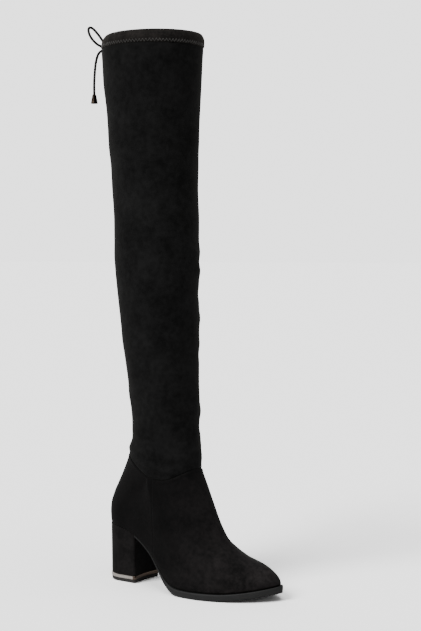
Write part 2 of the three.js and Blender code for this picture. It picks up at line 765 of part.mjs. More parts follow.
const outerTail = [
  [-2.4, 3.1, -2.8],
  [-4.8, 5.7, -4.2],
  [-6.7, 7.5, -6.4],
  [-8.2, 8.9, -10.4],
  [-9.5, 10.3, -18.0],
  [-10.2, 11.2, -27.6],
  [-10.6, 11.8, -38.0],
  [-10.7, 12.0, -47.5],
  [-10.6, 12.0, -55.0],
];

const innerTail = [
  [-1.0, 1.9, -4.0],
  [-1.7, 3.9, -8.8],
  [-2.0, 6.0, -14.4],
  [-2.2, 7.8, -22.2],
  [-2.4, 8.9, -31.0],
  [-2.4, 9.4, -40.5],
  [-2.4, 9.5, -49.0],
  [-2.4, 9.5, -55.5],
];

// The stretch of cord from inside the hem, through its hole, to the knot.
const holeAhead = knotStandOff + knotDepth / 2;
const lead = [
  [holeAhead + 1.4, cordHoleSpacing / 2, knotDrop],
  [holeAhead - 2.4, cordHoleSpacing / 2 - 0.1, knotDrop - 0.2],
  [holeAhead - 3.4, cordHoleSpacing / 2 - 0.7, knotDrop - 0.4],
  [2.9, 4.3, 0.3],
];

// A round cord along points, on one side of the knot.
function cordAlong(points, side, steps) {
  const path = new THREE.CatmullRomCurve3(
    points.map(([x, y, z]) => new THREE.Vector3(x, side * y, z).add(knotPlace)),
  );
  const section = new THREE.Shape();
  section.absarc(0, 0, cordDiameter / 2, 0, 2 * Math.PI);
  const settings = { steps, extrudePath: path, curveSegments: 4, bevelEnabled: false };
  return new THREE.ExtrudeGeometry(section, settings);
}

function cordKnot() {
  const knot = new THREE.SphereGeometry(0.5, 12, 8);
  knot.scale(knotDepth, knotWidth, knotHeight);
  return knot.translate(knotPlace.x, knotPlace.y, knotPlace.z);
}

// Cord end: a metal bell under the end of each tail.
function cordEnd(tail, side) {
  const [x, y, z] = tail.at(-1);
  const profile = [
    [0, -cordEndLength],
    [cordEndFoot / 2 - 0.5, -cordEndLength],
    [cordEndFoot / 2, -cordEndLength + 0.6],
    [cordEndTop / 2, -0.6],
    [cordEndTop / 2 - 0.4, 0],
    [0, 0],
  ].map(([r, h]) => new THREE.Vector2(r, h));
  const bell = new THREE.LatheGeometry(profile, 14);
  bell.rotateX(Math.PI / 2);
  return bell.translate(knotPlace.x + x, knotPlace.y + side * y, knotPlace.z + z - seamGap);
}

const suede = new THREE.MeshStandardMaterial({ color: 0x171614, roughness: 0.95, metalness: 0 });
const knit = new THREE.MeshStandardMaterial({ color: 0x161514, roughness: 0.92, metalness: 0 });
const rubber = new THREE.MeshStandardMaterial({ color: 0x2e2f31, roughness: 0.6, metalness: 0 });
const lift = new THREE.MeshStandardMaterial({ color: 0x191817, roughness: 0.7, metalness: 0 });
const footbed = new THREE.MeshStandardMaterial({ color: 0x1d1c1b, roughness: 0.85, metalness: 0 });
const steel = new THREE.MeshStandardMaterial({ color: 0xb9b1a8, roughness: 0.2, metalness: 1 });
const gunmetal = new THREE.MeshStandardMaterial({ color: 0x6f6a63, roughness: 0.3, metalness: 1 });
const tape = new THREE.MeshStandardMaterial({ color: 0x131313, roughness: 0.7, metalness: 0 });
const braid = new THREE.MeshStandardMaterial({ color: 0x181615, roughness: 0.6, metalness: 0 });

const boot = new THREE.Group();

function add(name, geometry, material, parent = boot) {
  const mesh = new THREE.Mesh(geometry, material);
  mesh.name = name;
  parent.add(mesh);
}

add("outsole", outsole(), rubber);
add("heel_block", heelBlock(), suede);
add("heel_band", heelBand(), steel);
add("heel_tip", heelTip(), lift);
add("insole", insole(), footbed);
add("foot_upper", footUpper(), suede);
add("shaft", shaft(), knit);
add("cuff", cuff(), knit);
add("zip_chain", zipChain(), tape);

const slider = new THREE.Group();
slider.position.copy(sliderPlace);
slider.quaternion.setFromRotationMatrix(
  new THREE.Matrix4().makeBasis(
    new THREE.Vector3(-1, 0, 0),
    sliderNormal.clone().cross(new THREE.Vector3(-1, 0, 0)),
    sliderNormal,
  ),
);
boot.add(slider);
add("zip_slider", zipSlider(), gunmetal, slider);
const pull = new THREE.Group();
pull.position.z = pivotRise;
slider.add(pull);
add("zip_pull", zipPull(), gunmetal, pull);

add("cord_knot", cordKnot(), braid);
for (const [name, side, loop, tail] of [
  ["outer", -1, outerLoop, outerTail],
  ["inner", 1, innerLoop, innerTail],
]) {
  add(`cord_lead_${name}`, cordAlong(lead, side, 5), braid);
  add(`cord_loop_${name}`, cordAlong(loop, side, 18), braid);
  add(`cord_tail_${name}`, cordAlong(tail, side, 12), braid);
  add(`cord_end_${name}`, cordEnd(tail, side), gunmetal);
}

export default boot;
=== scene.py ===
"""Looks of a right thigh-high boot in black microsuede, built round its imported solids.

Sizes in the classes are millimetres of the real boot, and the meshes are in metres in the solids' frame:
+X to the toe, +Y to the inner side of the leg, +Z up, and the floor at 0.
"""

import logging
import math
from dataclasses import dataclass
from enum import Enum
from typing import Callable, Sequence

import bmesh
import bpy
import numpy as np
from mathutils import Matrix, Vector


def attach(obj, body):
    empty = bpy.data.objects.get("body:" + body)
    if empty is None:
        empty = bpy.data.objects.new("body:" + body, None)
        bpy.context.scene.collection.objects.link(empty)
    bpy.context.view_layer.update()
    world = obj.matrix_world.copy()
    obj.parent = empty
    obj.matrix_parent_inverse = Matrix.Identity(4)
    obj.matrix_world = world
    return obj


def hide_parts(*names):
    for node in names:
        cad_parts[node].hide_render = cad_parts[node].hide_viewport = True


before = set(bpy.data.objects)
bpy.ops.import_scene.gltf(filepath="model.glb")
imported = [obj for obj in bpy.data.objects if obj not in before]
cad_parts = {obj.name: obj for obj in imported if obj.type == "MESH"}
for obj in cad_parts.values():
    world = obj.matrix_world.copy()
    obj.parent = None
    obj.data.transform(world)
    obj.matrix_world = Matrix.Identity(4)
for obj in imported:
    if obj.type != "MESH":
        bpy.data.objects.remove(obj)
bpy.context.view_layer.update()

MM = 0.001
LOG = logging.getLogger("boot")
Mesh = bmesh.types.BMesh
Tree = bpy.types.NodeTree
Socket = bpy.types.NodeSocket
Object = bpy.types.Object
Array = np.ndarray
Points = np.ndarray
Place = Callable[[Array, Array], Points]
Along = Callable[[Array], Array]

# Sizes that several pieces share, in millimetres: the gap between neighbours, the heel's breast, the hem and
# the height and half distance of its two cord holes.
PIECE_GAP = 0.3
HEEL_BREAST = 23.25
CUFF_HEIGHT = 15.0
HOLE_HEIGHT = 626.5
HOLE_HALF = 6.0

# Underside of the foot: place as a share of its length, lift towards the heel and share of the toe spring.
BOTTOM_ROWS = (
    (-0.05, 1.01, 0), (0, 1, 0), (0.11, 0.945, 0), (0.2, 0.84, 0), (0.26, 0.71, 0),
    (0.325, 0.53, 0), (0.38, 0.33, 0), (0.43, 0.16, 0), (0.49, 0.035, 0), (0.55, 0, 0),
    (0.7, 0, 0), (0.78, 0, 0.08), (0.87, 0, 0.36), (0.95, 0, 0.74), (1.04, 0, 1.2),
)  # fmt: skip
# Rings of the foot from the feather edge to the ankle seam: back, its rise, front, its rise, half width at the
# seat, its place, half width at the ball, its place, share of the waist's curve and share of the pointed toe.
FOOT_ROWS = (
    (0, 0, 0.993, 0, 1, 0.12, 1, 0.64, 1, 1),
    (0, 0.07, 0.986, 0.045, 1.045, 0.122, 1.02, 0.64, 0.88, 1),
    (0, 0.15, 0.962, 0.096, 1.08, 0.126, 0.96, 0.65, 0.74, 1),
    (0.002, 0.225, 0.914, 0.152, 1.1, 0.135, 0.89, 0.64, 0.6, 1),
    (0.007, 0.305, 0.835, 0.192, 1.11, 0.15, 0.85, 0.62, 0.46, 1),
    (0.017, 0.38, 0.758, 0.262, 1.11, 0.17, 0.83, 0.6, 0.34, 0.95),
    (0.03, 0.47, 0.7, 0.352, 1.11, 0.2, 0.82, 0.58, 0.22, 0.85),
    (0.05, 0.58, 0.652, 0.492, 1.12, 0.25, 0.825, 0.56, 0.12, 0.65),
    (0.074, 0.71, 0.609, 0.658, 1.17, 0.32, 0.84, 0.54, 0.05, 0.4),
    (0.1, 0.855, 0.564, 0.837, 1.26, 0.41, 0.86, 0.52, 0, 0.15),
    (0.124, 1, 0.525, 1, 1.39, 0.5, 0.85, 0.5, 0, 0),
)
# Rings of the leg up to the rim: rise, back, front and half width.
SHAFT_ROWS = (
    (0.025, 0.13, 0.524, 0.63), (0.05, 0.144, 0.515, 0.612), (0.085, 0.143, 0.508, 0.618),
    (0.14, 0.132, 0.508, 0.66), (0.2, 0.115, 0.502, 0.692), (0.265, 0.095, 0.5, 0.745),
    (0.33, 0.079, 0.498, 0.78), (0.39, 0.064, 0.495, 0.812), (0.45, 0.051, 0.493, 0.835),
    (0.515, 0.047, 0.493, 0.84), (0.575, 0.045, 0.494, 0.845), (0.64, 0.034, 0.488, 0.852),
    (0.7, 0.027, 0.49, 0.87), (0.76, 0.014, 0.489, 0.89), (0.825, 0.004, 0.497, 0.925),
    (0.885, -0.012, 0.503, 0.97), (0.935, -0.018, 0.508, 0.99), (0.967, -0.022, 0.513, 1),
    (0.985, -0.014, 0.514, 1), (1, 0.004, 0.505, 0.955),
)  # fmt: skip


def clamp(value: Array) -> Array:
    """Value held between 0 and 1."""
    return np.clip(value, 0.0, 1.0)


def smooth(value: Array) -> Array:
    """Soft step from 0 to 1."""
    held = clamp(value)
    return held * held * (3 - 2 * held)


def mix(low: Array, high: Array, share: Array) -> Array:
    """Value at a share of the way from low to high."""
    return low + (high - low) * share


def bell(distance: Array, width: float) -> Array:
    """Soft bump of height 1, as wide as given on each side."""
    return np.exp(-((distance / width) ** 2))


def spline(rows: Array, level: Array) -> Array:
    """Uniform Catmull-Rom through rows.

    Args:
        rows: One row of values for each whole level.
        level: Fractional row numbers.

    Returns:
        A row of values for each level.
    """
    last = len(rows) - 1
    k = np.clip(np.floor(level).astype(int), 0, last - 1)
    t = (level - k)[:, None]
    a, b, c, d = (rows[np.clip(k + step, 0, last)] for step in (-1, 0, 1, 2))
    return b + 0.5 * t * (c - a + t * (2 * a - 5 * b + 4 * c - d + t * (3 * (b - c) + d - a)))


@dataclass
class BootForm:
    """The boot's outer surface, by level and angle.

    The level is 0 at the feather edge, 10 at the ankle seam and 30 at the rim. The angle runs from the back (0)
    round the outer side to the front (pi) and back round the inner side.
    """

    foot_length: float = 228.0
    heel_height: float = 68.0
    boot_height: float = 633.0
    seam_height: float = 152.0
    seam_front: float = 138.0
    seam_dips: tuple[float, float] = (17.0, 10.0)
    seat_width: float = 50.0
    ball_width: float = 82.0
    cuff_depth: float = 122.0
    cuff_width: float = 107.0
    toe_swing: float = 8.0
    swing_from: float = 0.45
    arch_depth: float = 4.5
    waist_at: float = 0.33
    waist_reach: float = 0.12
    leg_at: float = 0.244
    leg_lean: float = 0.018
    leg_depth: float = 0.266
    dip_reach: float = 0.16
    dip_rings: int = 5
    ball_turn: float = 0.085
    sole: float = 8.0
    waist_sole: float = 3.0
    toe_spring: float = 9.0
    heel_back: float = -24.0
    side_seam_at: float = 57.0
    zip_foot: float = 65.0
    zip_top: float = 336.0
    zip_foot_at: float = 0.345
    zip_slot: float = 6.6
    row_gap: float = 0.35

    def __post_init__(self) -> None:
        """Work out the rings in millimetres."""
        self.bottom = np.array(BOTTOM_ROWS, float)
        self.seam_level = float(len(FOOT_ROWS) - 1)
        self.top_level = self.seam_level + len(SHAFT_ROWS)
        toe_height = float(self.feather(np.array([self.along(1.0)]))[0])
        rings = []
        for k, row in enumerate(FOOT_ROWS):
            back, back_up, front, front_up, seat, seat_at, ball, ball_at, sag, point = row
            rings.append((
                self.along(back), mix(self.heel_height, self.seam_height, back_up),
                self.along(front), mix(toe_height, self.seam_front, front_up),
                seat * self.seat_width / 2, seat_at, ball * self.ball_width / 2, ball_at,
                sag, point, float(smooth(np.array((k - self.seam_level) / self.dip_rings + 1))),
            ))  # fmt: skip
        for up, back, front, half in SHAFT_ROWS:
            middle = self.along(self.leg_at - self.leg_lean * up)
            reach = self.cuff_depth / 2 / (self.leg_depth * self.foot_length)
            wide = half * self.cuff_width / 2
            rings.append((
                middle + (self.along(back) - middle) * reach, mix(self.seam_height, self.boot_height, up),
                middle + (self.along(front) - middle) * reach, mix(self.seam_front, self.boot_height, up),
                wide, 0.5, wide, 0.5, 0.0, 0.0, float(1 - smooth(np.array(up / self.dip_reach))),
            ))  # fmt: skip
        self.rings = np.array(rings)
        self.zip_low = self.zip_level(self.zip_foot)
        self.zip_high = self.zip_level(self.zip_top)

    def along(self, share: float) -> float:
        """Place along the foot, in millimetres, at a share of its length."""
        return self.heel_back + share * self.foot_length

    def feather(self, x: Array) -> Array:
        """Height of the feather edge above the floor at places along the foot."""
        share = (x - self.heel_back) / self.foot_length
        level = np.interp(share, self.bottom[:, 0], np.arange(len(self.bottom)))
        row = spline(self.bottom, level)
        return self.sole + (self.heel_height - self.sole) * row[:, 1] + self.toe_spring * row[:, 2]

    def sole_bottom(self, x: Array) -> Array:
        """Height of the sole's underside above the floor."""
        share = (x - self.heel_back) / self.foot_length
        thick = mix(self.waist_sole, self.sole, smooth((share - 0.3) / 0.24))
        return np.maximum(0.0, self.feather(x) - thick)

    def point(self, level: Array, angle: Array) -> Points:
        """Points of the outer surface.

        Args:
            level: Levels, one for each point.
            angle: Angles, one for each point.

        Returns:
            An array of points, in millimetres.
        """
        columns = spline(self.rings, level).T
        back_x, back_z, front_x, front_z, seat, seat_at, ball, ball_at, sag, point, dip = columns
        share = (1 - np.cos(angle)) / 2
        inner = np.sin(angle) < 0
        x = mix(back_x, front_x, share)
        along = (x - self.heel_back) / self.foot_length
        ball_at = ball_at + np.where(inner, 0.05, -0.02) * point
        waist = bell(along - self.waist_at, self.waist_reach) * sag
        ball = ball * (1 + np.where(inner, -1, 1) * self.ball_turn * point)
        rear = seat * np.sqrt(np.maximum(0, 1 - ((seat_at - share) / seat_at) ** 2))
        middle = mix(seat, ball, smooth((share - seat_at) / np.maximum(1e-9, ball_at - seat_at)))
        tip = clamp((share - ball_at) / (1 - ball_at)) ** (2 - 0.2 * point)
        fore = ball * (1 - tip) ** (1 / (2 - 0.45 * point))
        half = np.where(share < seat_at, rear, np.where(share < ball_at, middle, fore))
        drawn = half - waist * self.arch_depth * np.where(inner, 1, 0.5) * np.abs(np.sin(angle))
        swing = self.toe_swing * clamp((along - self.swing_from) / (1 - self.swing_from)) ** 1.6
        chord = mix(self.feather(back_x), self.feather(front_x), share)
        dip = dip * np.where(inner, self.seam_dips[1], self.seam_dips[0])
        dip = dip * np.sin(np.pi * share**1.45) ** 1.1
        z = mix(back_z, front_z, share) + sag * (self.feather(x) - chord) - dip
        return np.stack([x, np.where(inner, drawn, -drawn) + swing, z], axis=1)

    def normal(self, level: Array, angle: Array, step: float = 0.03) -> Points:
        """Outward unit normals of the outer surface."""
        round_ = self.point(level, angle + step) - self.point(level, angle - step)
        low, high = np.maximum(0, level - step), np.minimum(self.top_level, level + step)
        rise = self.point(high, angle) - self.point(low, angle)
        out = np.cross(round_, rise)
        return out / np.maximum(1e-9, np.linalg.norm(out, axis=1))[:, None]

    def skin(self, level: Array, angle: Array, out: Array) -> Points:
        """Points that stand out of the surface by a distance."""
        return self.point(level, angle) + self.normal(level, angle) * np.reshape(out, (-1, 1))

    def girth(self, level: Array, angle: Array, step: float = 0.02) -> Array:
        """Millimetres along the surface for each radian of angle."""
        span = self.point(level, angle + step) - self.point(level, angle - step)
        return np.maximum(1.0, np.linalg.norm(span, axis=1) / (2 * step))

    def zip_angle(self, level: Array) -> Array:
        """Angle of the zip's middle line at each level."""
        ring = spline(self.rings, level)
        seam = self.rings[int(self.seam_level)]
        fall = clamp((self.seam_level - level) / (self.seam_level - 3))
        x = mix((seam[0] + seam[2]) / 2, self.along(self.zip_foot_at), fall)
        share = np.where(level > self.seam_level, 0.5, (x - ring[:, 0]) / (ring[:, 2] - ring[:, 0]))
        return 2 * np.pi - np.arccos(1 - 2 * clamp(share))

    def side_seam_angle(self, level: Array) -> Array:
        """Angle of the seam on the outer side of the foot at each level."""
        ring = spline(self.rings, level)
        share = (self.side_seam_at - ring[:, 0]) / (ring[:, 2] - ring[:, 0])
        return np.arccos(1 - 2 * clamp(share))

    def level_at(self, height: float, angle: float | None) -> Array:
        """Level at which the surface has a height.

        Args:
            height: Height above the floor, in millimetres.
            angle: Angle on the surface, or None for the zip's line.

        Returns:
            An array with one level.
        """
        low, high = np.array([0.0]), np.array([self.top_level])
        for _ in range(40):
            middle = (low + high) / 2
            at = self.zip_angle(middle) if angle is None else np.array([angle])
            if self.point(middle, at)[0, 2] < height:
                low = middle
            else:
                high = middle
        return (low + high) / 2

    def hem_level(self) -> float:
        """Level of the stitch line under the cuff."""
        return float(self.level_at(self.boot_height - CUFF_HEIGHT, math.pi / 2)[0])

    def rise(self, level: float) -> float:
        """Millimetres from one level to the next, at the back of the leg."""
        about = self.point(np.array([level - 0.5, level + 0.5]), np.zeros(2))
        return float(about[1, 2] - about[0, 2])

    def zip_level(self, height: float) -> float:
        """Level at which the zip's middle line has a height."""
        return float(self.level_at(height, None)[0])

    def zip_point(self, level: Array) -> Points:
        """Points of the zip's middle line at levels."""
        return self.point(level, self.zip_angle(level))

    def snapped(self, level: Array, end: float, height: float) -> Array:
        """Levels of a grid, with the rows next to a slot's end moved close to it.

        Args:
            level: Levels of the grid's points, equal along each row.
            end: Level of the slot's end.
            height: Height of the slot's end, in millimetres.

        Returns:
            The levels, with one row just below the end and one just above it.
        """
        step = 0.01
        gained = float(self.zip_point(np.array([end + step]))[0, 2]) - height
        near = self.row_gap * step / abs(gained)
        below, above = level[level < end].max(), level[level >= end].min()
        level = np.where(level == below, end - near, level)
        return np.where(level == above, end + near, level)

    def slot_half(self, level: Array) -> Array:
        """Half the width of the zip's slot at each level, with rounded corners at its two ends."""
        z = self.zip_point(level)[:, 2]
        half = self.zip_slot / 2
        from_end = np.minimum(z - self.zip_foot, self.zip_top - z)
        return half * np.maximum(0, 1 - (1 - clamp(from_end / half)) ** 5) ** 0.2 * (from_end > 0)

    def round_slot(self, level: Array, u: Array, columns: Sequence, stops: Sequence, crowding: float) -> Array:
        """Angles of a grid that runs round the boot from one edge of the zip's slot to the other.

        Args:
            level: Level of each point.
            u: Share across the grid of each point.
            columns: Faces from each stop to the next.
            stops: Angles between the slot's edges that a column of the grid keeps to.
            crowding: How much closer the columns lie at the stops, from 0 to 1.

        Returns:
            The angle of each point.
        """
        zip_at = self.zip_angle(level)
        slit = self.slot_half(level) / self.girth(level, zip_at)
        ends = [zip_at + slit, *stops, zip_at + 2 * np.pi - slit]
        knots = np.cumsum((0, *columns)) / sum(columns)
        angle = np.zeros_like(u)
        for k, (low, high) in enumerate(zip(knots, knots[1:])):
            here = (u >= low - 1e-9) & (u <= high + 1e-9)
            share = crowd(clamp((u - low) / (high - low)), crowding)
            angle = np.where(here, mix(ends[k], ends[k + 1], share), angle)
        return angle


@dataclass(frozen=True)
class Fold:
    """A soft ridge of the cloth between two places of a flat chart, or a trough where its rise is below 0."""

    start: tuple[float, float]
    end: tuple[float, float]
    width: float
    rise: float
    bow: float = 0.0

    def relief(self, across: Array, up: Array) -> Array:
        """How far the cloth stands out, at places of the chart, in millimetres."""
        ax, ay = self.start
        dx, dy = self.end[0] - ax, self.end[1] - ay
        length = math.hypot(dx, dy)
        share = ((across - ax) * dx + (up - ay) * dy) / length**2
        held = clamp(share)
        beside = ((across - ax) * -dy + (up - ay) * dx) / length - self.bow * 4 * held * (1 - held)
        beyond = (share - held) * length
        taper = smooth(held / 0.35) * smooth((1 - held) / 0.35)
        return self.rise * taper * bell(np.hypot(beside, beyond), self.width)


class Body(Enum):
    """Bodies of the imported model."""

    BOOT = "boot"
    PULL = "pull"


def linear(code: str) -> tuple[float, float, float, float]:
    """Linear colour of an sRGB hex code such as #1a1918."""
    values = [int(code[i : i + 2], 16) / 255 for i in (1, 3, 5)]
    turned = [v / 12.92 if v <= 0.04045 else ((v + 0.055) / 1.055) ** 2.4 for v in values]
    return (*turned, 1.0)


def add_node(tree: Tree, kind: str, inputs: dict | None = None, **settings: object) -> bpy.types.Node:
    """Add a node with its settings and inputs.

    Args:
        tree: The node tree to add to.
        kind: The node's type name.
        inputs: Values or output sockets, by the input's name or number.
        **settings: Properties of the node.

    Returns:
        The new node.
    """
    node = tree.nodes.new(kind)
    for name, value in settings.items():
        setattr(node, name, value)
    for name, value in (inputs or {}).items():
        if isinstance(value, Socket):
            tree.links.new(value, node.inputs[name])
        else:
            node.inputs[name].default_value = value
    return node


def noise(tree: Tree, place: Socket, scale: float, detail: float, roughness: float = 0.5) -> Socket:
    """Add a noise texture and give its value."""
    inputs = {"Vector": place, "Scale": scale, "Detail": detail, "Roughness": roughness}
    return add_node(tree, "ShaderNodeTexNoise", inputs).outputs["Fac"]


def ramp(tree: Tree, value: Socket, start: float, end: float, low: float = 0.0, high: float = 1.0) -> Socket:
    """Turn a value from start to end into one from low to high."""
    inputs = {"Value": value, "From Min": start, "From Max": end, "To Min": low, "To Max": high}
    return add_node(tree, "ShaderNodeMapRange", inputs).outputs["Result"]


def blend(tree: Tree, share: Socket, low: object, high: object) -> Socket:
    """Mix two colours, from the low one at share 0 to the high one at share 1."""
    return add_node(tree, "ShaderNodeMix", {"Factor": share, 6: low, 7: high}, data_type="RGBA").outputs[2]


@dataclass(frozen=True)
class Finish:
    """A finish whose colour and gloss vary softly over the surface, with a fine and a coarse bump.

    Sizes are millimetres: "patch" is the size of the colour's patches, "grain" of the fine bump and "pebble" of
    the coarse one. The "painted_shade" colour is painted shade: it covers the share "painted_shade_share" up to
    "painted_shade_from" and is gone at "painted_shade_to", both along the foot.
    """

    name: str
    dark: str
    light: str
    roughness: float
    patch: float = 20.0
    grain: float = 0.6
    grain_depth: float = 0.05
    pebble: float = 4.0
    pebble_depth: float = 0.0
    metallic: float = 0.0
    specular: float = 0.5
    sheen: float = 0.0
    sheen_tint: str = "#808080"
    weave: float = 0.0
    weave_depth: float = 0.0
    contrast: float = 1.0
    painted_shade: str = ""
    painted_shade_from: float = 0.0
    painted_shade_to: float = 1.0
    painted_shade_share: float = 1.0

    def material(self) -> bpy.types.Material:
        """Make the finish as a node material."""
        made = bpy.data.materials.get(self.name)
        if made:
            return made
        made = bpy.data.materials.new(self.name)
        made.use_nodes = True
        tree = made.node_tree
        tree.nodes.clear()
        place = add_node(tree, "ShaderNodeTexCoord").outputs["Object"]
        patches, fibres = (noise(tree, place, times / (self.patch * MM), 4.0, 0.6) for times in (1, 6))
        both = add_node(tree, "ShaderNodeMath", {0: patches, 1: fibres}, operation="ADD").outputs[0]
        reach = 0.25 / self.contrast
        colour = blend(tree, ramp(tree, both, 1 - reach, 1 + reach), linear(self.dark), linear(self.light))
        # Painted shade: a darker colour is mixed in, fully up to one place along x and gone at another.
        if self.painted_shade:
            along = add_node(tree, "ShaderNodeSeparateXYZ", {0: place}).outputs[0]
            unshaded_share = ramp(tree, along, self.painted_shade_from * MM, self.painted_shade_to * MM, 1 - self.painted_shade_share)
            colour = blend(tree, unshaded_share, linear(self.painted_shade), colour)
        low, high = max(0.0, self.roughness - 0.05), min(1.0, self.roughness + 0.05)
        settings = {
            "Base Color": colour,
            "Roughness": ramp(tree, fibres, 0.3, 0.7, low, high),
            "Normal": self.bump(tree, place),
            "Metallic": self.metallic,
            "Specular IOR Level": self.specular,
            "Sheen Weight": self.sheen,
            "Sheen Roughness": 0.45,
            "Sheen Tint": linear(self.sheen_tint),
        }
        shader = add_node(tree, "ShaderNodeBsdfPrincipled", settings)
        add_node(tree, "ShaderNodeOutputMaterial", {"Surface": shader.outputs[0]})
        return made

    def bump(self, tree: Tree, place: Socket) -> Socket:
        """Chain the coarse bump, the fine bump and the weave, and give the normal."""
        layers = [
            (noise(tree, place, 1 / (self.pebble * MM), 3.0), self.pebble_depth),
            (noise(tree, place, 1 / (self.grain * MM), 2.0), self.grain_depth),
        ]
        if self.weave:
            uv = add_node(tree, "ShaderNodeTexCoord").outputs["UV"]
            wave = {"Vector": uv, "Scale": math.pi / (10 * self.weave * MM), "Distortion": 0.0}
            both = {}
            for k, axis in enumerate(("DIAGONAL", "Y")):
                both[k] = add_node(tree, "ShaderNodeTexWave", wave, bands_direction=axis).outputs["Fac"]
            crossing = add_node(tree, "ShaderNodeMath", both, operation="MULTIPLY").outputs[0]
            layers.append((crossing, self.weave_depth))
        below = {}
        for height, depth in layers:
            inputs = {"Height": height, "Strength": 1.0, "Distance": depth * MM, **below}
            below = {"Normal": add_node(tree, "ShaderNodeBump", inputs).outputs[0]}
        return below["Normal"]


# Brushed polyester microsuede: black, with a soft nap that is lighter where it lies towards the light. It is
# painted darker towards the heel, fully up to 70 mm along the foot and gone by 180 mm: painted shade on the
# quarters.
FOOT_SUEDE = Finish(
    "microsuede_foot", "#0c0b0b", "#292626", 0.9, patch=30, grain=1.1, grain_depth=0.14, pebble=7,
    pebble_depth=0.3, specular=0.12, sheen=0.15, sheen_tint="#74716f",
    painted_shade="#040404", painted_shade_from=70, painted_shade_to=180, painted_shade_share=0.82,
)  # fmt: skip
# The same microsuede, stretched round the heel.
HEEL_SUEDE = Finish(
    "microsuede_heel", "#0d0c0c", "#1e1c1c", 0.9, patch=22, grain=1.1, grain_depth=0.14, pebble=7,
    pebble_depth=0.2, specular=0.12, sheen=0.14, sheen_tint="#74716f", contrast=1.1,
)  # fmt: skip
# The same microsuede on a stretch knit backing, a little darker and flatter.
SHAFT_SUEDE = Finish(
    "microsuede_stretch", "#0a0a0a", "#1c1c1c", 0.92, patch=38, grain=1.2, grain_depth=0.12, pebble=9,
    pebble_depth=0.35, specular=0.1, sheen=0.22, sheen_tint="#75736f",
)  # fmt: skip
# The same cloth turned over in the hem, painted lighter and warmer than the shaft: painted light from above.
TOP_LIT_HEM_SUEDE = Finish(
    "microsuede_hem", "#121110", "#292624", 0.92, patch=12, grain=1.0, grain_depth=0.14, pebble=5,
    pebble_depth=0.3, specular=0.12, sheen=0.3, sheen_tint="#8a827b", contrast=1.2,
)  # fmt: skip
# Tricot lining: matt dark grey knit.
LINING = Finish(
    "tricot_lining", "#1d1c1b", "#2a2928", 0.95, patch=10, grain=0.5, grain_depth=0.08, specular=0.2
)
# Injection-moulded thermoplastic rubber: dark grey, half matt, with a fine spark-eroded grain. Its waist is
# painted near black up to 52 mm along the foot, gone by 88 mm: painted shade under the arch.
SOLE_RUBBER = Finish(
    "moulded_rubber", "#222222", "#2a2a2a", 0.6, patch=12, grain=0.8, grain_depth=0.04, specular=0.3,
    painted_shade="#0a0a0a", painted_shade_from=52, painted_shade_to=88,
)  # fmt: skip
# Hard rubber top lift: dark grey and matt.
LIFT_RUBBER = Finish(
    "hard_rubber", "#2a2928", "#353331", 0.65, patch=8, grain=0.7, grain_depth=0.05, specular=0.35
)
# Polished plated steel: a warm bright mirror with faint polishing haze.
# Its breast face is painted dark brown from 19 mm along the foot forwards: a painted dark reflection of the
# shade under the arch.
BAND_STEEL = Finish(
    "plated_steel", "#cbc2ba", "#e6dfd8", 0.16, patch=6, grain=0.6, grain_depth=0.004, metallic=1.0,
    painted_shade="#6d5f55", painted_shade_from=20.4, painted_shade_to=19.0,
)  # fmt: skip
# Black-nickel-plated zinc casting: dark, satin, bright only where it catches a lamp.
GUNMETAL = Finish(
    "gunmetal_zinc", "#3b3835", "#4d4945", 0.28, patch=6, grain=0.5, grain_depth=0.01, metallic=1.0
)
# Antique-bronze zinc bells on the cord.
CORD_METAL = Finish(
    "bronze_zinc", "#1c1815", "#3a312a", 0.3, patch=3, grain=0.5, grain_depth=0.02, metallic=1.0
)
# Woven polyester zip tape.
TAPE = Finish(
    "woven_tape", "#0d0d0d", "#171717", 0.8, patch=5, grain=0.5, grain_depth=0.03, specular=0.25, weave=0.9,
    weave_depth=0.12,
)  # fmt: skip
# Nylon monofilament coil: black, half glossy.
COIL = Finish("nylon_coil", "#1c1c1c", "#292929", 0.38, patch=3, grain=0.6, grain_depth=0.01, specular=0.5)
# Round waxed cotton braid.
BRAID = Finish(
    "waxed_braid", "#0d0b0a", "#171412", 0.6, patch=4, grain=0.4, grain_depth=0.04, specular=0.3, weave=1.0,
    weave_depth=0.15,
)  # fmt: skip
# Bonded polyester thread: charcoal with a slight gloss.
THREAD = Finish("bonded_thread", "#4c4a49", "#5c5a58", 0.5, patch=3, grain=0.4, grain_depth=0.03, specular=0.5)
# The same thread in black.
SEAM_THREAD = Finish(
    "black_thread", "#151515", "#202020", 0.5, patch=3, grain=0.4, grain_depth=0.03, specular=0.5
)
# Microfibre footbed over foam.
FOOTBED = Finish(
    "microfibre_footbed", "#1a1918", "#242322", 0.8, patch=14, grain=0.7, grain_depth=0.06, specular=0.3
)


def sheet(columns: int, rows: int, place: Place, width: float = 1.0, length: float = 1.0) -> Mesh:
    """Lay a fine grid on a surface.

    Args:
        columns: Faces across.
        rows: Faces along.
        place: Gives the points, in millimetres, for shares across and along.
        width: Real width for the UV map, in millimetres.
        length: Real length for the UV map, in millimetres.

    Returns:
        The grid, in metres, with edges that meet joined.
    """
    made = bmesh.new()
    bmesh.ops.create_grid(made, x_segments=columns, y_segments=rows, size=0.5, calc_uvs=False)
    made.verts.ensure_lookup_table()
    at = np.array([vert.co[:2] for vert in made.verts]) + 0.5
    layer = made.loops.layers.uv.new("UVMap")
    for face in made.faces:
        for loop in face.loops:
            u, v = at[loop.vert.index]
            loop[layer].uv = (u * width * MM, v * length * MM)
    for vert, spot in zip(made.verts, place(at[:, 0], at[:, 1]) * MM):
        vert.co = spot
    bmesh.ops.remove_doubles(made, verts=made.verts, dist=1e-6)
    bmesh.ops.dissolve_degenerate(made, dist=1e-7, edges=made.edges)
    return made


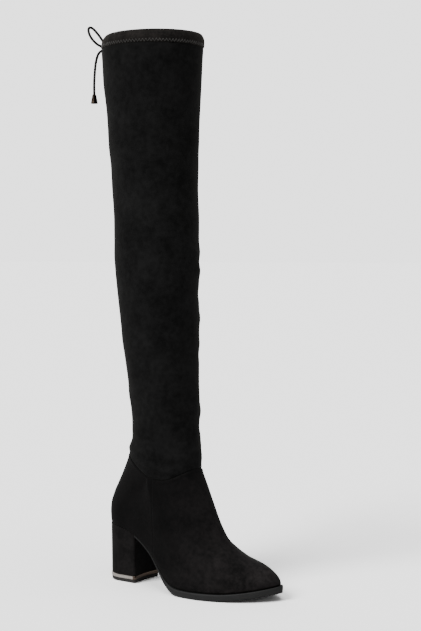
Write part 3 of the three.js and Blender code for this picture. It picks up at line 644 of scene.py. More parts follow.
def put(name: str, data: bpy.types.ID) -> Object:
    """Make an object of some data and link it to the scene."""
    obj = bpy.data.objects.new(name, data)
    bpy.context.scene.collection.objects.link(obj)
    return obj


def add_mesh(made: Mesh, other: Mesh, scale: float = 1.0) -> None:
    """Add a second mesh to the first at a scale, and free it."""
    bmesh.ops.scale(other, vec=(scale, scale, scale), verts=other.verts)
    mesh = bpy.data.meshes.new("part")
    other.to_mesh(mesh)
    other.free()
    made.from_mesh(mesh)
    bpy.data.meshes.remove(mesh)


def add_ball(made: Mesh, middle: Points, axes: Sequence[Points], sides: int, rings: int) -> None:
    """Add a ball squashed to three half axes, in millimetres, to a mesh in metres."""
    basis = Matrix(np.stack(axes, axis=1).tolist()).to_4x4()
    matrix = Matrix.Translation(Vector(middle * MM)) @ Matrix.Scale(MM, 4) @ basis
    bmesh.ops.create_uvsphere(made, u_segments=sides, v_segments=rings, radius=1.0, matrix=matrix)


def piece(
    made: Mesh,
    name: str,
    finishes: Sequence[Finish],
    replaces: Sequence[str] = (),
    body: Body = Body.BOOT,
    sharp: float = 0.0,
) -> Object:
    """Make an object of a finished mesh and tell the frame about it.

    Args:
        made: The mesh, in metres. It is freed.
        name: The piece's name.
        finishes: Its finishes, the outer one first.
        replaces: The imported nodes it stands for.
        body: The body it moves with.
        sharp: Angle in degrees over which an edge stays sharp, or 0 for none.

    Returns:
        The new object.
    """
    mesh = bpy.data.meshes.new(name)
    made.to_mesh(mesh)
    made.free()
    mesh.shade_smooth()
    if sharp:
        mesh.set_sharp_from_angle(angle=math.radians(sharp))
    obj = put(name, mesh)
    for finish in finishes:
        mesh.materials.append(finish.material())
    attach(obj, body.value)
    if replaces:
        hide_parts(*replaces)
    LOG.info("%s: %d faces", name, len(mesh.polygons))
    return obj


def thicken(obj: Object, wall: float, lined: bool = True) -> None:
    """Give a sheet its wall on the inside, lined with the second finish."""
    solid = obj.modifiers.new("wall", "SOLIDIFY")
    solid.thickness = wall * MM
    solid.offset = -1.0
    solid.use_even_offset = False
    if lined:
        solid.material_offset = 1


def crowd(share: Array, amount: float) -> Array:
    """Shares that lie closer together at both ends."""
    return share - amount * np.sin(2 * np.pi * share) / (2 * np.pi)


def run_along(line: Points) -> Array:
    """Distance from the start of a line to each of its points."""
    return np.concatenate([[0], np.cumsum(np.linalg.norm(np.diff(line, axis=0), axis=1))])


def smooth_path(points: Points, count: int) -> Points:
    """A Catmull-Rom line through points, with evenly spaced points on it."""
    level = np.linspace(0, len(points) - 1, 12 * len(points))
    line = spline(np.asarray(points, float), level)
    run = run_along(line)
    at = np.linspace(0, run[-1], count)
    return np.stack([np.interp(at, run, line[:, k]) for k in range(3)], axis=1)


def path_length(line: Points) -> float:
    """Length of a line through points."""
    return float(np.linalg.norm(np.diff(line, axis=0), axis=1).sum())


def tube(line: Points, radius: float, sides: int = 12, ends: bool = True) -> Mesh:
    """Sweep a circle along a line.

    Args:
        line: Points of the centre line, in millimetres.
        radius: Radius in millimetres.
        sides: Sides of the section.
        ends: True to close both ends.

    Returns:
        The tube, with a UV map round and along it in metres.
    """
    tangents = np.gradient(line, axis=0)
    tangents /= np.linalg.norm(tangents, axis=1)[:, None]
    side = np.cross(tangents[0], (0.31, 0.17, 0.93))
    sides_at = []
    for tangent in tangents:
        side = side - tangent * side.dot(tangent)
        side = side / np.linalg.norm(side)
        sides_at.append(side)
    across = np.array(sides_at)
    other = np.cross(tangents, across)
    last = len(line) - 1

    def place(u: Array, v: Array) -> Points:
        k = np.rint(v * last).astype(int)
        turn = (2 * np.pi * u)[:, None]
        return line[k] + radius * (np.cos(turn) * across[k] + np.sin(turn) * other[k])

    made = sheet(sides, last, place, 2 * math.pi * radius, path_length(line))
    if ends:
        rims = [edge for edge in made.edges if edge.is_boundary]
        bmesh.ops.holes_fill(made, edges=rims, sides=0)
    bmesh.ops.recalc_face_normals(made, faces=made.faces)
    return made


def stitches(line: Points, out: Points, pitch: float, length: float, radius: float) -> Mesh:
    """Sew a row of stitches along a line.

    Args:
        line: Points on the cloth, in millimetres.
        out: Unit normals of the cloth at the points.
        pitch: Distance from stitch to stitch.
        length: Length of one stitch.
        radius: Radius of the thread.

    Returns:
        All the stitches in one mesh.
    """
    run = run_along(line)
    made = bmesh.new()
    for at in np.arange(pitch / 2, run[-1], pitch):
        ends = [np.array([np.interp(at + s * length / 2, run, line[:, k]) for k in range(3)]) for s in (-1, 1)]
        up = np.array([np.interp(at, run, out[:, k]) for k in range(3)])
        add_stitch(made, ends[0], ends[1], up, radius)
    return made


def add_stitch(made: Mesh, start: Points, end: Points, up: Points, radius: float) -> None:
    """Add one stitch between two points, in millimetres, half sunk into the cloth."""
    run = end - start
    along = run / np.linalg.norm(run)
    beside = np.cross(up, along)
    beside /= np.linalg.norm(beside)
    rise = np.cross(along, beside)
    middle = (start + end) / 2 + rise * radius * 0.35
    reach = np.linalg.norm(run) / 2 + radius * 0.4
    add_ball(made, middle, (along * reach, beside * radius, rise * radius), 6, 4)


@dataclass(frozen=True)
class Lamp:
    """A wide soft lamp far away.

    The lamp stands "turn" degrees round from the outer side of the boot and leans "tilt" degrees from straight
    above, and it is "spread" degrees across.
    """

    name: str
    strength: float
    spread: float
    tilt: float
    turn: float


@dataclass
class Studio:
    """Camera, soft lights and a pale floor that runs into a pale backdrop.

    The camera sees floor and backdrop brighter than they light the boot, as when lamps kept off the boot
    light them.
    """

    stand: tuple[float, float, float] = (0.97735, -1.22869, 0.381)
    heading: float = 35.1
    pitch: float = 2.58
    focal_pixels: float = 1335.0
    frame_height: float = 631.0
    sensor: float = 36.0
    far_clip: float = 200.0
    floor_size: float = 60.0
    floor_grey: float = 0.62
    floor_shown: float = 2.15
    room: float = 0.24
    backdrop: float = 2.4
    lamps: tuple[Lamp, ...] = (
        Lamp("key", 2.5, 30.0, 46.0, -15.0),
        Lamp("top", 0.9, 40.0, 12.0, 60.0),
        Lamp("back", 0.6, 60.0, 65.0, -120.0),
    )

    def camera(self) -> None:
        """Set the camera where the photograph was taken from."""
        data = bpy.data.cameras.new("camera")
        data.sensor_width = self.sensor
        data.lens = self.focal_pixels * self.sensor / self.frame_height
        data.clip_end = self.far_clip
        obj = put("camera", data)
        obj.location = self.stand
        obj.rotation_euler = (math.radians(90 - self.pitch), 0.0, math.radians(self.heading))
        bpy.context.scene.camera = obj

    def floor(self) -> None:
        """Lay the floor: matt paint, brighter to the camera than to the boot."""
        made = bmesh.new()
        bmesh.ops.create_grid(made, x_segments=1, y_segments=1, size=self.floor_size)
        mesh = bpy.data.meshes.new("floor")
        made.to_mesh(mesh)
        made.free()
        paint = bpy.data.materials.new("floor_paint")
        paint.use_nodes = True
        tree = paint.node_tree
        tree.nodes.clear()
        seen = add_node(tree, "ShaderNodeLightPath").outputs["Is Camera Ray"]
        grey, shown = ((*[level] * 3, 1.0) for level in (self.floor_grey, self.floor_shown))
        matt = add_node(tree, "ShaderNodeBsdfDiffuse", {"Color": blend(tree, seen, grey, shown)})
        add_node(tree, "ShaderNodeOutputMaterial", {"Surface": matt.outputs[0]})
        mesh.materials.append(paint)
        put("floor", mesh)

    def lights(self) -> None:
        """Light the room softly, and hang the lamps."""
        world = bpy.data.worlds.new("studio")
        world.use_nodes = True
        tree = world.node_tree
        seen = add_node(tree, "ShaderNodeLightPath").outputs["Is Camera Ray"]
        levels = {0: seen, 1: self.backdrop - self.room, 2: self.room}
        strength = add_node(tree, "ShaderNodeMath", levels, operation="MULTIPLY_ADD")
        background = tree.nodes["Background"]
        background.inputs["Color"].default_value = (1.0, 1.0, 1.0, 1.0)
        tree.links.new(strength.outputs[0], background.inputs["Strength"])
        bpy.context.scene.world = world
        for lamp in self.lamps:
            data = bpy.data.lights.new(lamp.name, "SUN")
            data.energy = lamp.strength
            data.angle = math.radians(lamp.spread)
            put(lamp.name, data).rotation_euler = (math.radians(lamp.tilt), 0.0, math.radians(lamp.turn))


@dataclass
class Drawcord:
    """Round cord tied in a bow at the back of the cuff, with a metal bell on each end.

    Points are measured from the middle of the knot: x forwards, y sideways from the middle and z up.
    """

    diameter: float = 3.0
    hem_back: float = -27.22
    stand_off: float = 3.6
    knot_size: tuple[float, float, float] = (7.4, 9.2, 7.2)
    knot_drop: float = 1.0
    knot_wind: float = 0.62
    knot_cord: float = 0.95
    bell_length: float = 10.6
    bell_top: float = 4.8
    bell_foot: float = 8.4
    gap: float = PIECE_GAP
    outer_loop: tuple = (
        (-0.6, 3.3, 3.5), (-1.8, 5.4, 6.0), (-5.0, 8.5, 12.6), (-8.6, 12.0, 18.7), (-11.3, 15.5, 22.2),
        (-12.7, 18.3, 21.9), (-12.4, 20.0, 18.6), (-10.9, 19.5, 13.2), (-8.8, 16.5, 7.8), (-6.0, 12.0, 3.3),
        (-3.7, 7.6, 0.9), (-3.2, 4.3, 0.4),
    )  # fmt: skip
    inner_loop: tuple = (
        (-0.7, 3.7, 3.6), (-1.8, 6.6, 5.7), (-2.4, 10.6, 5.6), (-2.8, 15.0, 3.8), (-3.2, 18.4, 0.3),
        (-3.6, 19.2, -3.8), (-4.0, 17.4, -6.9), (-4.0, 13.8, -7.2), (-3.8, 10.0, -4.8), (-3.3, 6.6, -1.9),
        (-3.4, 4.5, -0.1),
    )  # fmt: skip
    outer_tail: tuple = (
        (-2.4, 3.1, -2.8), (-4.8, 5.7, -4.2), (-6.7, 7.5, -6.4), (-8.2, 8.9, -10.4), (-9.5, 10.3, -18.0),
        (-10.2, 11.2, -27.6), (-10.6, 11.8, -38.0), (-10.7, 12.0, -47.5), (-10.6, 12.0, -55.0),
    )  # fmt: skip
    inner_tail: tuple = (
        (-1.0, 1.9, -4.0), (-1.7, 3.9, -8.8), (-2.0, 6.0, -14.4), (-2.2, 7.8, -22.2), (-2.4, 8.9, -31.0),
        (-2.4, 9.4, -40.5), (-2.4, 9.5, -49.0), (-2.4, 9.5, -55.5),
    )  # fmt: skip

    def __post_init__(self) -> None:
        """Place the knot and the two leads that come out of the hem."""
        ahead = self.stand_off + self.knot_size[0] / 2
        self.knot = (self.hem_back - ahead, 0.0, HOLE_HEIGHT - self.knot_drop)
        self.lead = (
            (ahead + 1.4, HOLE_HALF, self.knot_drop),
            (ahead - 2.4, HOLE_HALF - 0.1, self.knot_drop - 0.2),
            (ahead - 3.4, HOLE_HALF - 0.7, self.knot_drop - 0.4),
            (2.9, 4.3, 0.3),
        )

    def at_knot(self, points: Sequence, side: int) -> Points:
        """Points beside the knot, in millimetres in the solids' frame."""
        return np.array(points, float) * (1, side, 1) + np.array(self.knot)

    def build(self) -> None:
        """Make the bow."""
        for name, side, loop, tail in (
            ("outer", -1, self.outer_loop, self.outer_tail),
            ("inner", 1, self.inner_loop, self.inner_tail),
        ):
            bell = self.bell(name, self.at_knot(tail, side)[-1])
            self.stretch(f"loop_{name}", self.at_knot(loop, side))
            self.stretch(f"tail_{name}", self.at_knot(tail, side))
            made = tube(smooth_path(self.at_knot(self.lead, side), 14), self.diameter / 2)
            piece(made, f"drawcord_lead_{name}", (BRAID,), (f"cord_lead_{name}",))
        self.tie()

    def stretch(self, name: str, points: Points) -> None:
        line = smooth_path(points, 60)
        obj = piece(tube(line, self.diameter / 2), f"drawcord_{name}", (BRAID,), (f"cord_{name}",))

    def bell(self, name: str, top: Points) -> Object:
        """Turn the metal bell of one end, with two grooves and a hollow foot."""
        foot, neck, long = self.bell_foot / 2, self.bell_top / 2, self.bell_length
        profile = [(0.9, 0.0), (neck - 0.4, 0.0), (neck - 0.1, -0.3), (neck, -0.9), (neck + 0.35, -2.4)]
        for groove in (2.7, 3.5):
            wide = mix(neck, foot, groove / long)
            profile += [(wide, -groove), (wide - 0.3, -groove - 0.2), (wide, -groove - 0.4)]
        profile += [(foot - 0.15, -long + 0.9), (foot, -long + 0.5), (foot - 0.15, -long + 0.1)]
        profile += [(foot - 0.5, -long), (foot - 0.9, -long + 0.2)]
        profile += [(foot - 1.3, -long + 1.4), (0.0, -long + 1.8)]
        made = bmesh.new()
        verts = [made.verts.new((r * MM, 0.0, z * MM)) for r, z in profile]
        edges = [made.edges.new(pair) for pair in zip(verts, verts[1:])]
        turn = {"axis": (0, 0, 1), "angle": 2 * math.pi, "steps": 28, "use_merge": True}
        bmesh.ops.spin(made, geom=verts + edges, cent=(0, 0, 0), **turn)
        bmesh.ops.remove_doubles(made, verts=made.verts, dist=1e-6)
        bmesh.ops.recalc_face_normals(made, faces=made.faces)
        place = Matrix.Translation(Vector((top + (0, 0, -self.gap)) * MM))
        bmesh.ops.transform(made, matrix=place, verts=made.verts)
        return piece(made, f"bell_{name}", (CORD_METAL,), (f"cord_end_{name}",), sharp=35)

    def tie(self) -> None:
        """Tie the knot: a trefoil, wound twice round the middle of the knot."""
        turn = np.linspace(0, 2 * np.pi, 73)[:-1]
        radius = self.knot_wind * (2 + np.cos(3 * turn))
        round_ = (radius * np.cos(2 * turn), radius * np.sin(2 * turn) * 0.8)
        line = np.stack([np.sin(3 * turn) * 0.9, *round_], axis=1)
        line = np.vstack([line, line[:1]]) + np.array(self.knot)
        made = tube(line, self.diameter / 2 * self.knot_cord, ends=False)
        piece(made, "drawcord_knot", (BRAID,), ("cord_knot",))


# Folds of the shaft: (angle in degrees, height) of both ends, half width, rise and bow, in millimetres.
SHAFT_FOLDS = (
    ((60, 149), (146, 131), 2.9, 2.6, -1.0), ((62, 155), (150, 141), 4.0, -1.6, -2.0),
    ((62, 163), (164, 150), 5.0, 1.4, -3.0), ((150, 158), (214, 152), 4.5, 1.0, 2.0),
    ((-34, 163), (40, 158), 4.0, 1.8, -3.0), ((-30, 172), (44, 168), 4.0, -1.3, -2.0),
    ((20, 184), (90, 178), 7.0, 0.8, -3.0), ((100, 232), (172, 214), 10.0, 0.8, 3.0),
    ((48, 262), (118, 240), 12.0, 0.8, -4.0), ((128, 280), (196, 306), 11.0, 0.9, -3.0),
    ((120, 330), (188, 352), 12.0, 0.9, 4.0), ((60, 352), (120, 330), 13.0, 0.7, 3.0),
    ((92, 404), (150, 436), 14.0, 0.8, 4.0), ((134, 470), (196, 448), 13.0, 0.7, 3.0),
    ((58, 500), (112, 470), 14.0, 0.7, -4.0), ((96, 560), (140, 520), 14.0, 0.8, 3.0),
    ((146, 400), (200, 384), 9.0, 0.9, -3.0), ((150, 372), (206, 362), 7.0, -0.7, -2.0),
    ((236, 392), (166, 380), 8.0, 1.3, 3.0), ((252, 352), (182, 366), 7.0, 1.6, -3.0),
    ((250, 338), (186, 340), 7.0, -1.0, 3.0), ((248, 324), (196, 303), 6.5, 1.2, 2.0),
    ((247, 303), (211, 270), 6.0, 1.5, 2.0), ((240, 282), (200, 262), 6.0, -0.9, 2.0),
    ((246, 262), (214, 236), 6.0, 0.9, 2.0), ((240, 222), (200, 193), 5.5, 1.4, 2.0),
    ((242, 208), (206, 180), 4.5, -0.9, 2.0), ((243, 195), (202, 165), 5.0, 1.4, 2.0),
    ((244, 174), (196, 155), 4.5, 1.1, -2.0), ((300, 180), (276, 160), 4.5, 1.2, 0.0),
    ((318, 196), (286, 172), 5.0, 1.0, 0.0), ((330, 236), (290, 206), 6.0, 1.0, 2.0),
    ((334, 290), (288, 258), 7.0, 0.9, 2.0), ((336, 340), (286, 312), 8.0, 0.9, -2.0),
    ((330, 400), (280, 372), 10.0, 0.9, -2.0), ((326, 470), (262, 440), 12.0, 0.8, 3.0),
    ((320, 540), (250, 520), 13.0, 0.7, -3.0), ((230, 500), (180, 540), 13.0, 0.7, 3.0),
    ((10, 230), (60, 206), 8.0, 0.8, 2.0), ((-20, 300), (40, 270), 11.0, 0.8, 2.0),
    ((-16, 400), (44, 372), 12.0, 0.8, -2.0), ((-10, 520), (50, 492), 13.0, 0.7, 2.0),
)  # fmt: skip
# Mean radius of the leg, which turns angles into millimetres of the folds' chart.
LEG_RADIUS = 44.0
MM_PER_DEGREE = LEG_RADIUS * math.pi / 180


def leg_relief(points: Points, angle: Array) -> Array:
    """Relief of the shaft's folds, in millimetres, at points of the leg."""
    turned = np.degrees(angle) % 360
    total = np.zeros(len(points))
    for start, end, width, rise, bow in SHAFT_FOLDS:
        fold = Fold((start[0] * MM_PER_DEGREE, start[1]), (end[0] * MM_PER_DEGREE, end[1]), width, rise, bow)
        middle = (start[0] + end[0]) / 2
        near = turned - 360 * np.rint((turned - middle) / 360)
        total += fold.relief(near * MM_PER_DEGREE, points[:, 2])
    return total


def seam_relief(away: Array, depth: float, width: float, rise: float, off: float, spread: float) -> Array:
    """Relief of a seam: a groove with a soft ridge beside it.

    Args:
        away: Distance from the seam, in millimetres.
        depth: Depth of the groove.
        width: Half width of the groove.
        rise: Height of the ridges.
        off: Distance of the ridges from the seam.
        spread: Half width of the ridges.

    Returns:
        How far the cloth stands out at each distance.
    """
    return rise * bell(np.abs(away) - off, spread) - depth * bell(away, width)


@dataclass
class Shaft:
    """Stretch tube from the ankle seam to the cuff, slit for the zip and slack at the ankle."""

    form: BootForm
    wall: float = 1.5
    columns: tuple[int, int, int] = (46, 88, 46)
    rows: int = 236
    hem_curl: float = 0.8
    cuff_curl: float = 0.7
    held_at_zip: float = 0.25

    def place(self, u: Array, v: Array) -> Points:
        """Points of the outer face."""
        form = self.form
        level = mix(form.seam_level, form.hem_level(), smooth_start(v))
        level = form.snapped(level, form.zip_high, form.zip_top)
        angle = form.round_slot(level, u, self.columns, (2 * np.pi, 3 * np.pi), 0.45)
        base = form.point(level, angle)
        above_seam = base[:, 2] - form.point(np.full_like(level, form.seam_level), angle)[:, 2]
        from_zip = np.abs(base[:, 0] - form.zip_point(level)[:, 0])
        loose = np.where(np.sin(angle) < 0, smooth((from_zip - 3) / 12), 1.0)
        out = leg_relief(base, angle) * smooth(above_seam / 4.5) * mix(self.held_at_zip, 1, loose)
        below_cuff = form.boot_height - CUFF_HEIGHT - base[:, 2]
        out = out - self.hem_curl * bell(above_seam, 0.8) - self.cuff_curl * bell(below_cuff, 1.2)
        out = out + seam_relief(form.girth(level, angle) * (angle - 2 * np.pi), 0.7, 0.8, 0.25, 2.4, 1.2)
        return base + form.normal(level, angle) * out[:, None]

    def build(self) -> None:
        """Make the shaft."""
        made = sheet(sum(self.columns), self.rows, self.place, 330, 466)
        obj = piece(made, "shaft_cloth", (SHAFT_SUEDE, LINING), ("shaft",))
        thicken(obj, self.wall)


def smooth_start(share: Array) -> Array:
    """Shares that lie closer together at the start and a little at the end."""
    return share**1.25 * (1 - 0.12 * share) / 0.88


@dataclass
class FootUpper:
    """Vamp and quarters from the feather edge to the ankle seam, with a seam down the outer side."""

    form: BootForm
    wall: float = 1.8
    columns: tuple[int, int, int, int] = (56, 56, 90, 100)
    rows: int = 92
    folds: tuple = (
        Fold((92, 129), (64, 121), 4.0, -0.5, 1.0), Fold((98, 118), (66, 110), 5.0, 0.5, 1.0),
        Fold((124, 66), (142, 38), 3.2, -0.4, -1.5), Fold((132, 60), (150, 34), 3.2, 0.35, -1.5),
        Fold((30, 118), (6, 104), 5.0, 0.5, 1.0), Fold((44, 92), (10, 86), 6.0, -0.4, 1.0),
    )  # fmt: skip

    def place(self, u: Array, v: Array) -> Points:
        """Points of the outer face."""
        form = self.form
        level = form.snapped(form.seam_level * crowd(v, 0.55), form.zip_low, form.zip_foot)
        side = form.side_seam_angle(level) + 2 * np.pi
        angle = form.round_slot(level, u, self.columns, (2 * np.pi, side, 3 * np.pi), 0.5)
        base = form.point(level, angle)
        girth = form.girth(level, angle)
        above_sole = np.linalg.norm(base - form.point(np.zeros_like(level), angle), axis=1)
        below_seam = np.linalg.norm(form.point(np.full_like(level, form.seam_level), angle) - base, axis=1)
        out = sum(fold.relief(base[:, 0], base[:, 2]) for fold in self.folds) - bell(above_sole, 1.0)
        out = out + seam_relief(below_seam, 0.8, 0.7, 0.35, 2.4, 1.5)
        out = out + seam_relief(girth * (angle - side), 0.4, 0.6, 0.12, 2.0, 1.1)
        out = out + seam_relief(girth * (angle - 2 * np.pi), 0.5, 0.7, 0.2, 2.0, 1.1)
        return base + form.normal(level, angle) * out[:, None]

    def build(self) -> None:
        """Make the foot."""
        made = sheet(sum(self.columns), self.rows, self.place, 500, 110)
        obj = piece(made, "foot_cloth", (FOOT_SUEDE, LINING), ("foot_upper",))
        thicken(obj, self.wall)


@dataclass
class Cuff:
    """Turned hem that holds the drawcord, slightly gathered, with a zigzag seam at its lower edge."""

    form: BootForm
    wall: float = 3.2
    swell: float = 1.0
    columns: int = 320
    rows: int = 40
    zigzag_pitch: float = 3.4
    zigzag_height: float = 4.4
    girth: float = 330.0
    thread: float = 0.25
    eyelet_radii: tuple[float, float] = (2.1, 2.75)
    eyelet_thread: float = 0.4

    def __post_init__(self) -> None:
        """Find the level of the stitch line."""
        self.low = self.form.hem_level()

    def gathers(self, angle: Array) -> Array:
        """Uneven puckers round the hem, in millimetres."""
        waves = ((23, 0.3, 0.5), (37, 1.7, 0.35), (58, 4.1, 0.3), (91, 2.2, 0.15))
        total = sum(size * np.sin(count * angle + phase) for count, phase, size in waves)
        return 0.28 * total * (0.6 + 0.4 * np.sin(5 * angle + 1.0))

    def bulge(self, angle: Array, share: Array) -> Array:
        """How far the hem's outer face stands out of the leg, at shares of its height."""
        return self.swell * np.sin(np.pi * share) + self.gathers(angle) * (1 - 0.55 * share)

    def place(self, u: Array, v: Array) -> Points:
        """Points round the hem's section: up the outside, over the rim and down the inside."""
        angle = 2 * np.pi * u
        turn = 2 * np.pi * v
        out_side = np.sin(turn)
        share = clamp(0.5 + 0.5 * np.sign(-np.cos(turn)) * np.abs(np.cos(turn)) ** 0.6)
        level = mix(self.low, self.form.top_level, share)
        half = self.wall / 2 * np.sign(out_side) * np.abs(out_side) ** 0.32
        bulge = self.bulge(angle, share) * clamp(out_side * 4)
        return self.form.skin(level, angle, half - self.wall / 2 + bulge)

    def build(self) -> None:
        """Make the hem and its zigzag seam."""
        made = sheet(self.columns, self.rows, self.place, 350, 40)
        bmesh.ops.recalc_face_normals(made, faces=made.faces)
        piece(made, "cuff_hem", (TOP_LIT_HEM_SUEDE,), ("cuff",))
        self.zigzag()
        for name, side in (("outer", 1), ("inner", -1)):
            self.eyelet(name, side)

    def eyelet(self, name: str, side: int) -> None:
        """Work a stitched ring round one of the drawcord's holes."""
        form = self.form
        level = form.level_at(HOLE_HEIGHT, 0.0)
        girth = form.girth(level, np.array([0.0]))
        height = form.rise(level[0])
        turn = np.linspace(0, 2 * np.pi, 41)
        for ring, radius in enumerate(self.eyelet_radii):
            angle = (side * HOLE_HALF + radius * np.cos(turn)) / girth
            levels = level + radius * np.sin(turn) / height
            line = form.skin(levels, angle, np.full_like(turn, self.swell + 0.15 - 0.2 * ring))
            made = tube(line, self.eyelet_thread, 8, ends=False)
            piece(made, f"cuff_eyelet_{name}_{ring + 1}", (SEAM_THREAD,))

    def zigzag(self) -> None:
        """Sew the zigzag over the hem's lower edge."""
        form = self.form
        count = 2 * int(round(self.girth / self.zigzag_pitch))
        angle = np.linspace(0, 2 * np.pi, count + 1)
        rise = np.where(np.arange(count + 1) % 2 == 0, 0.4, 0.4 + self.zigzag_height)
        level = self.low + rise / form.rise(self.low)
        share = (level - self.low) / (form.top_level - self.low)
        points = form.skin(level, angle, self.bulge(angle, share) + 0.15)
        normals = form.normal(level, angle)
        made = bmesh.new()
        for k in range(count):
            add_stitch(made, points[k], points[k + 1], normals[k], self.thread)
        piece(made, "cuff_zigzag", (THREAD,))


def inset(distance: float) -> Along:
    """Ring that lies a distance inside an outline: gives its share of each half width."""
    return lambda half: np.maximum(0.0, (half - distance) / np.maximum(half, 1e-6))


def part(share: float) -> Along:
    """Ring at one share of an outline's half width."""
    return lambda half: np.full(len(half), share)


def outline_body(outline: Points, stations: Sequence[tuple[Along, Along]], columns: int) -> Mesh:
    """Close a body round an outline, from its middle line on top over the side to the middle line below.

    Args:
        outline: Closed outline in plan, symmetric in its order: point k faces point n - k.
        stations: Two functions for each ring: its share of each half width, and its height at places along x.
        columns: Number of points of the outline.

    Returns:
        The closed body.
    """
    rows = len(stations) - 1

    def place(u: Array, v: Array) -> Points:
        k = np.rint(u * columns).astype(int) % columns
        ring = np.rint(v * rows).astype(int)
        spots = outline[k]
        facing = outline[(columns - k) % columns]
        middle = (spots + facing) / 2
        half = np.linalg.norm(spots - middle, axis=1)
        points = np.zeros((len(u), 3))
        for r, (wide, height) in enumerate(stations):
            here = ring == r
            flat = middle[here] + (spots[here] - middle[here]) * wide(half[here])[:, None]
            points[here] = np.column_stack([flat, height(flat[:, 0])])
        return points

    made = sheet(columns, rows, place, 500, 100)
    bmesh.ops.remove_doubles(made, verts=made.verts, dist=2e-5)
    bmesh.ops.recalc_face_normals(made, faces=made.faces)
    return made


@dataclass
class Sole:
    """Moulded outsole and the footbed above it."""

    form: BootForm
    columns: int = 260
    rim: float = 2.0
    waist_rim: float = -0.4
    gap: float = PIECE_GAP
    breast: float = HEEL_BREAST
    insole: float = 2.5
    tread_pitch: float = 5.0
    tread_depth: float = 0.6
    tread_from: float = 92.0
    tread_to: float = 176.0
    tread_sweep: float = 6.0
    footbed_inset: float = 2.3
    footbed_crown: float = 0.6

    def outline(self, out: Along) -> Points:
        """Outline of the foot in plan, moved out by a distance that may change along the foot."""
        angle = np.arange(self.columns) * 2 * np.pi / self.columns
        level = np.zeros_like(angle)
        spots = self.form.point(level, angle)
        run = self.form.point(level, angle + 0.03) - self.form.point(level, angle - 0.03)
        across = np.column_stack([run[:, 1], -run[:, 0]])
        across /= np.linalg.norm(across, axis=1)[:, None]
        return spots[:, :2] + across * out(spots[:, 0])[:, None]

    def stand_out(self, x: Array) -> Array:
        """How far the sole stands out of the upper."""
        share = (x - self.form.heel_back) / self.form.foot_length
        return mix(self.waist_rim, self.rim, smooth((share - 0.3) / 0.25))

    def build(self) -> None:
        """Make outsole and footbed."""
        form = self.form
        foot = form.sole_bottom

        def under(drop: float) -> Along:
            return lambda x: form.feather(x) - self.gap - drop

        def over(rise: float) -> Along:
            return lambda x: foot(x) + rise

        def between(share: float) -> Along:
            return lambda x: mix(foot(x), form.feather(x) - self.gap, share)

        edge = (
            (2.4, under(0.0)), (1.0, under(0.0)), (0.5, under(0.12)), (0.12, under(0.45)), (0.0, under(0.9)),
            (0.0, between(0.68)), (0.05, between(0.5)), (0.15, between(0.3)), (0.35, over(0.8)),
            (0.7, over(0.35)), (1.4, over(0.08)), (2.2, foot), (3.2, foot),
        )  # fmt: skip
        stations = [(part(s), under(0.0)) for s in (0.0, 0.5)]
        stations += [(inset(distance), height) for distance, height in edge]
        for s in np.linspace(0.86, 0.0, 26):
            stations.append((part(float(s)), lambda x, s=float(s): foot(x) + self.tread(x, s)))
        made = outline_body(self.outline(self.stand_out), stations, self.columns)
        cut = {"plane_co": ((self.breast + self.gap) * MM, 0, 0), "plane_no": (-1, 0, 0), "clear_outer": True}
        geom = made.verts[:] + made.edges[:] + made.faces[:]
        bmesh.ops.bisect_plane(made, geom=geom, dist=1e-7, **cut)
        bmesh.ops.holes_fill(made, edges=[e for e in made.edges if e.is_boundary], sides=0)
        bmesh.ops.recalc_face_normals(made, faces=made.faces)
        piece(made, "sole_unit", (SOLE_RUBBER,), ("outsole",), sharp=50)
        self.footbed()

    def tread(self, x: Array, share: float) -> Array:
        """Depth of the tread's ribs under the forefoot."""
        wave = 0.5 - 0.5 * np.cos(2 * np.pi * (x + self.tread_sweep * share) / self.tread_pitch)
        zone = smooth((x - self.tread_from) / 6) * smooth((self.tread_to - x) / 8)
        zone = zone * smooth((0.8 - share) / 0.06)
        return self.tread_depth * zone * smooth((wave - 0.45) / 0.3)

    def footbed(self) -> None:
        """Make the padded footbed."""
        form = self.form
        bottom = lambda x: form.feather(x) + self.gap
        high = lambda x: form.feather(x) + self.insole
        stations = []
        for s in (0.0, 0.3, 0.6, 0.8, 0.9):
            stations.append((part(s), lambda x, s=s: high(x) + self.footbed_crown * (1 - s * s)))
        stations += [(part(0.96), high), (part(0.99), lambda x: high(x) - 0.5)]
        stations += [(part(1.0), lambda x: high(x) - 1.1), (part(0.99), bottom), (part(0.0), bottom)]
        outline = self.outline(lambda x: np.full_like(x, -self.footbed_inset))
        made = outline_body(outline, stations, self.columns)
        piece(made, "footbed", (FOOTBED,), ("insole",), sharp=60)


def foot_rings(*rings: tuple[float, float]) -> list:
    """Flat rings at the foot of the heel, from the distance outwards and the height of each."""
    return [(0.0, out, lambda x, z=float(z): np.full_like(x, z)) for out, z in rings]


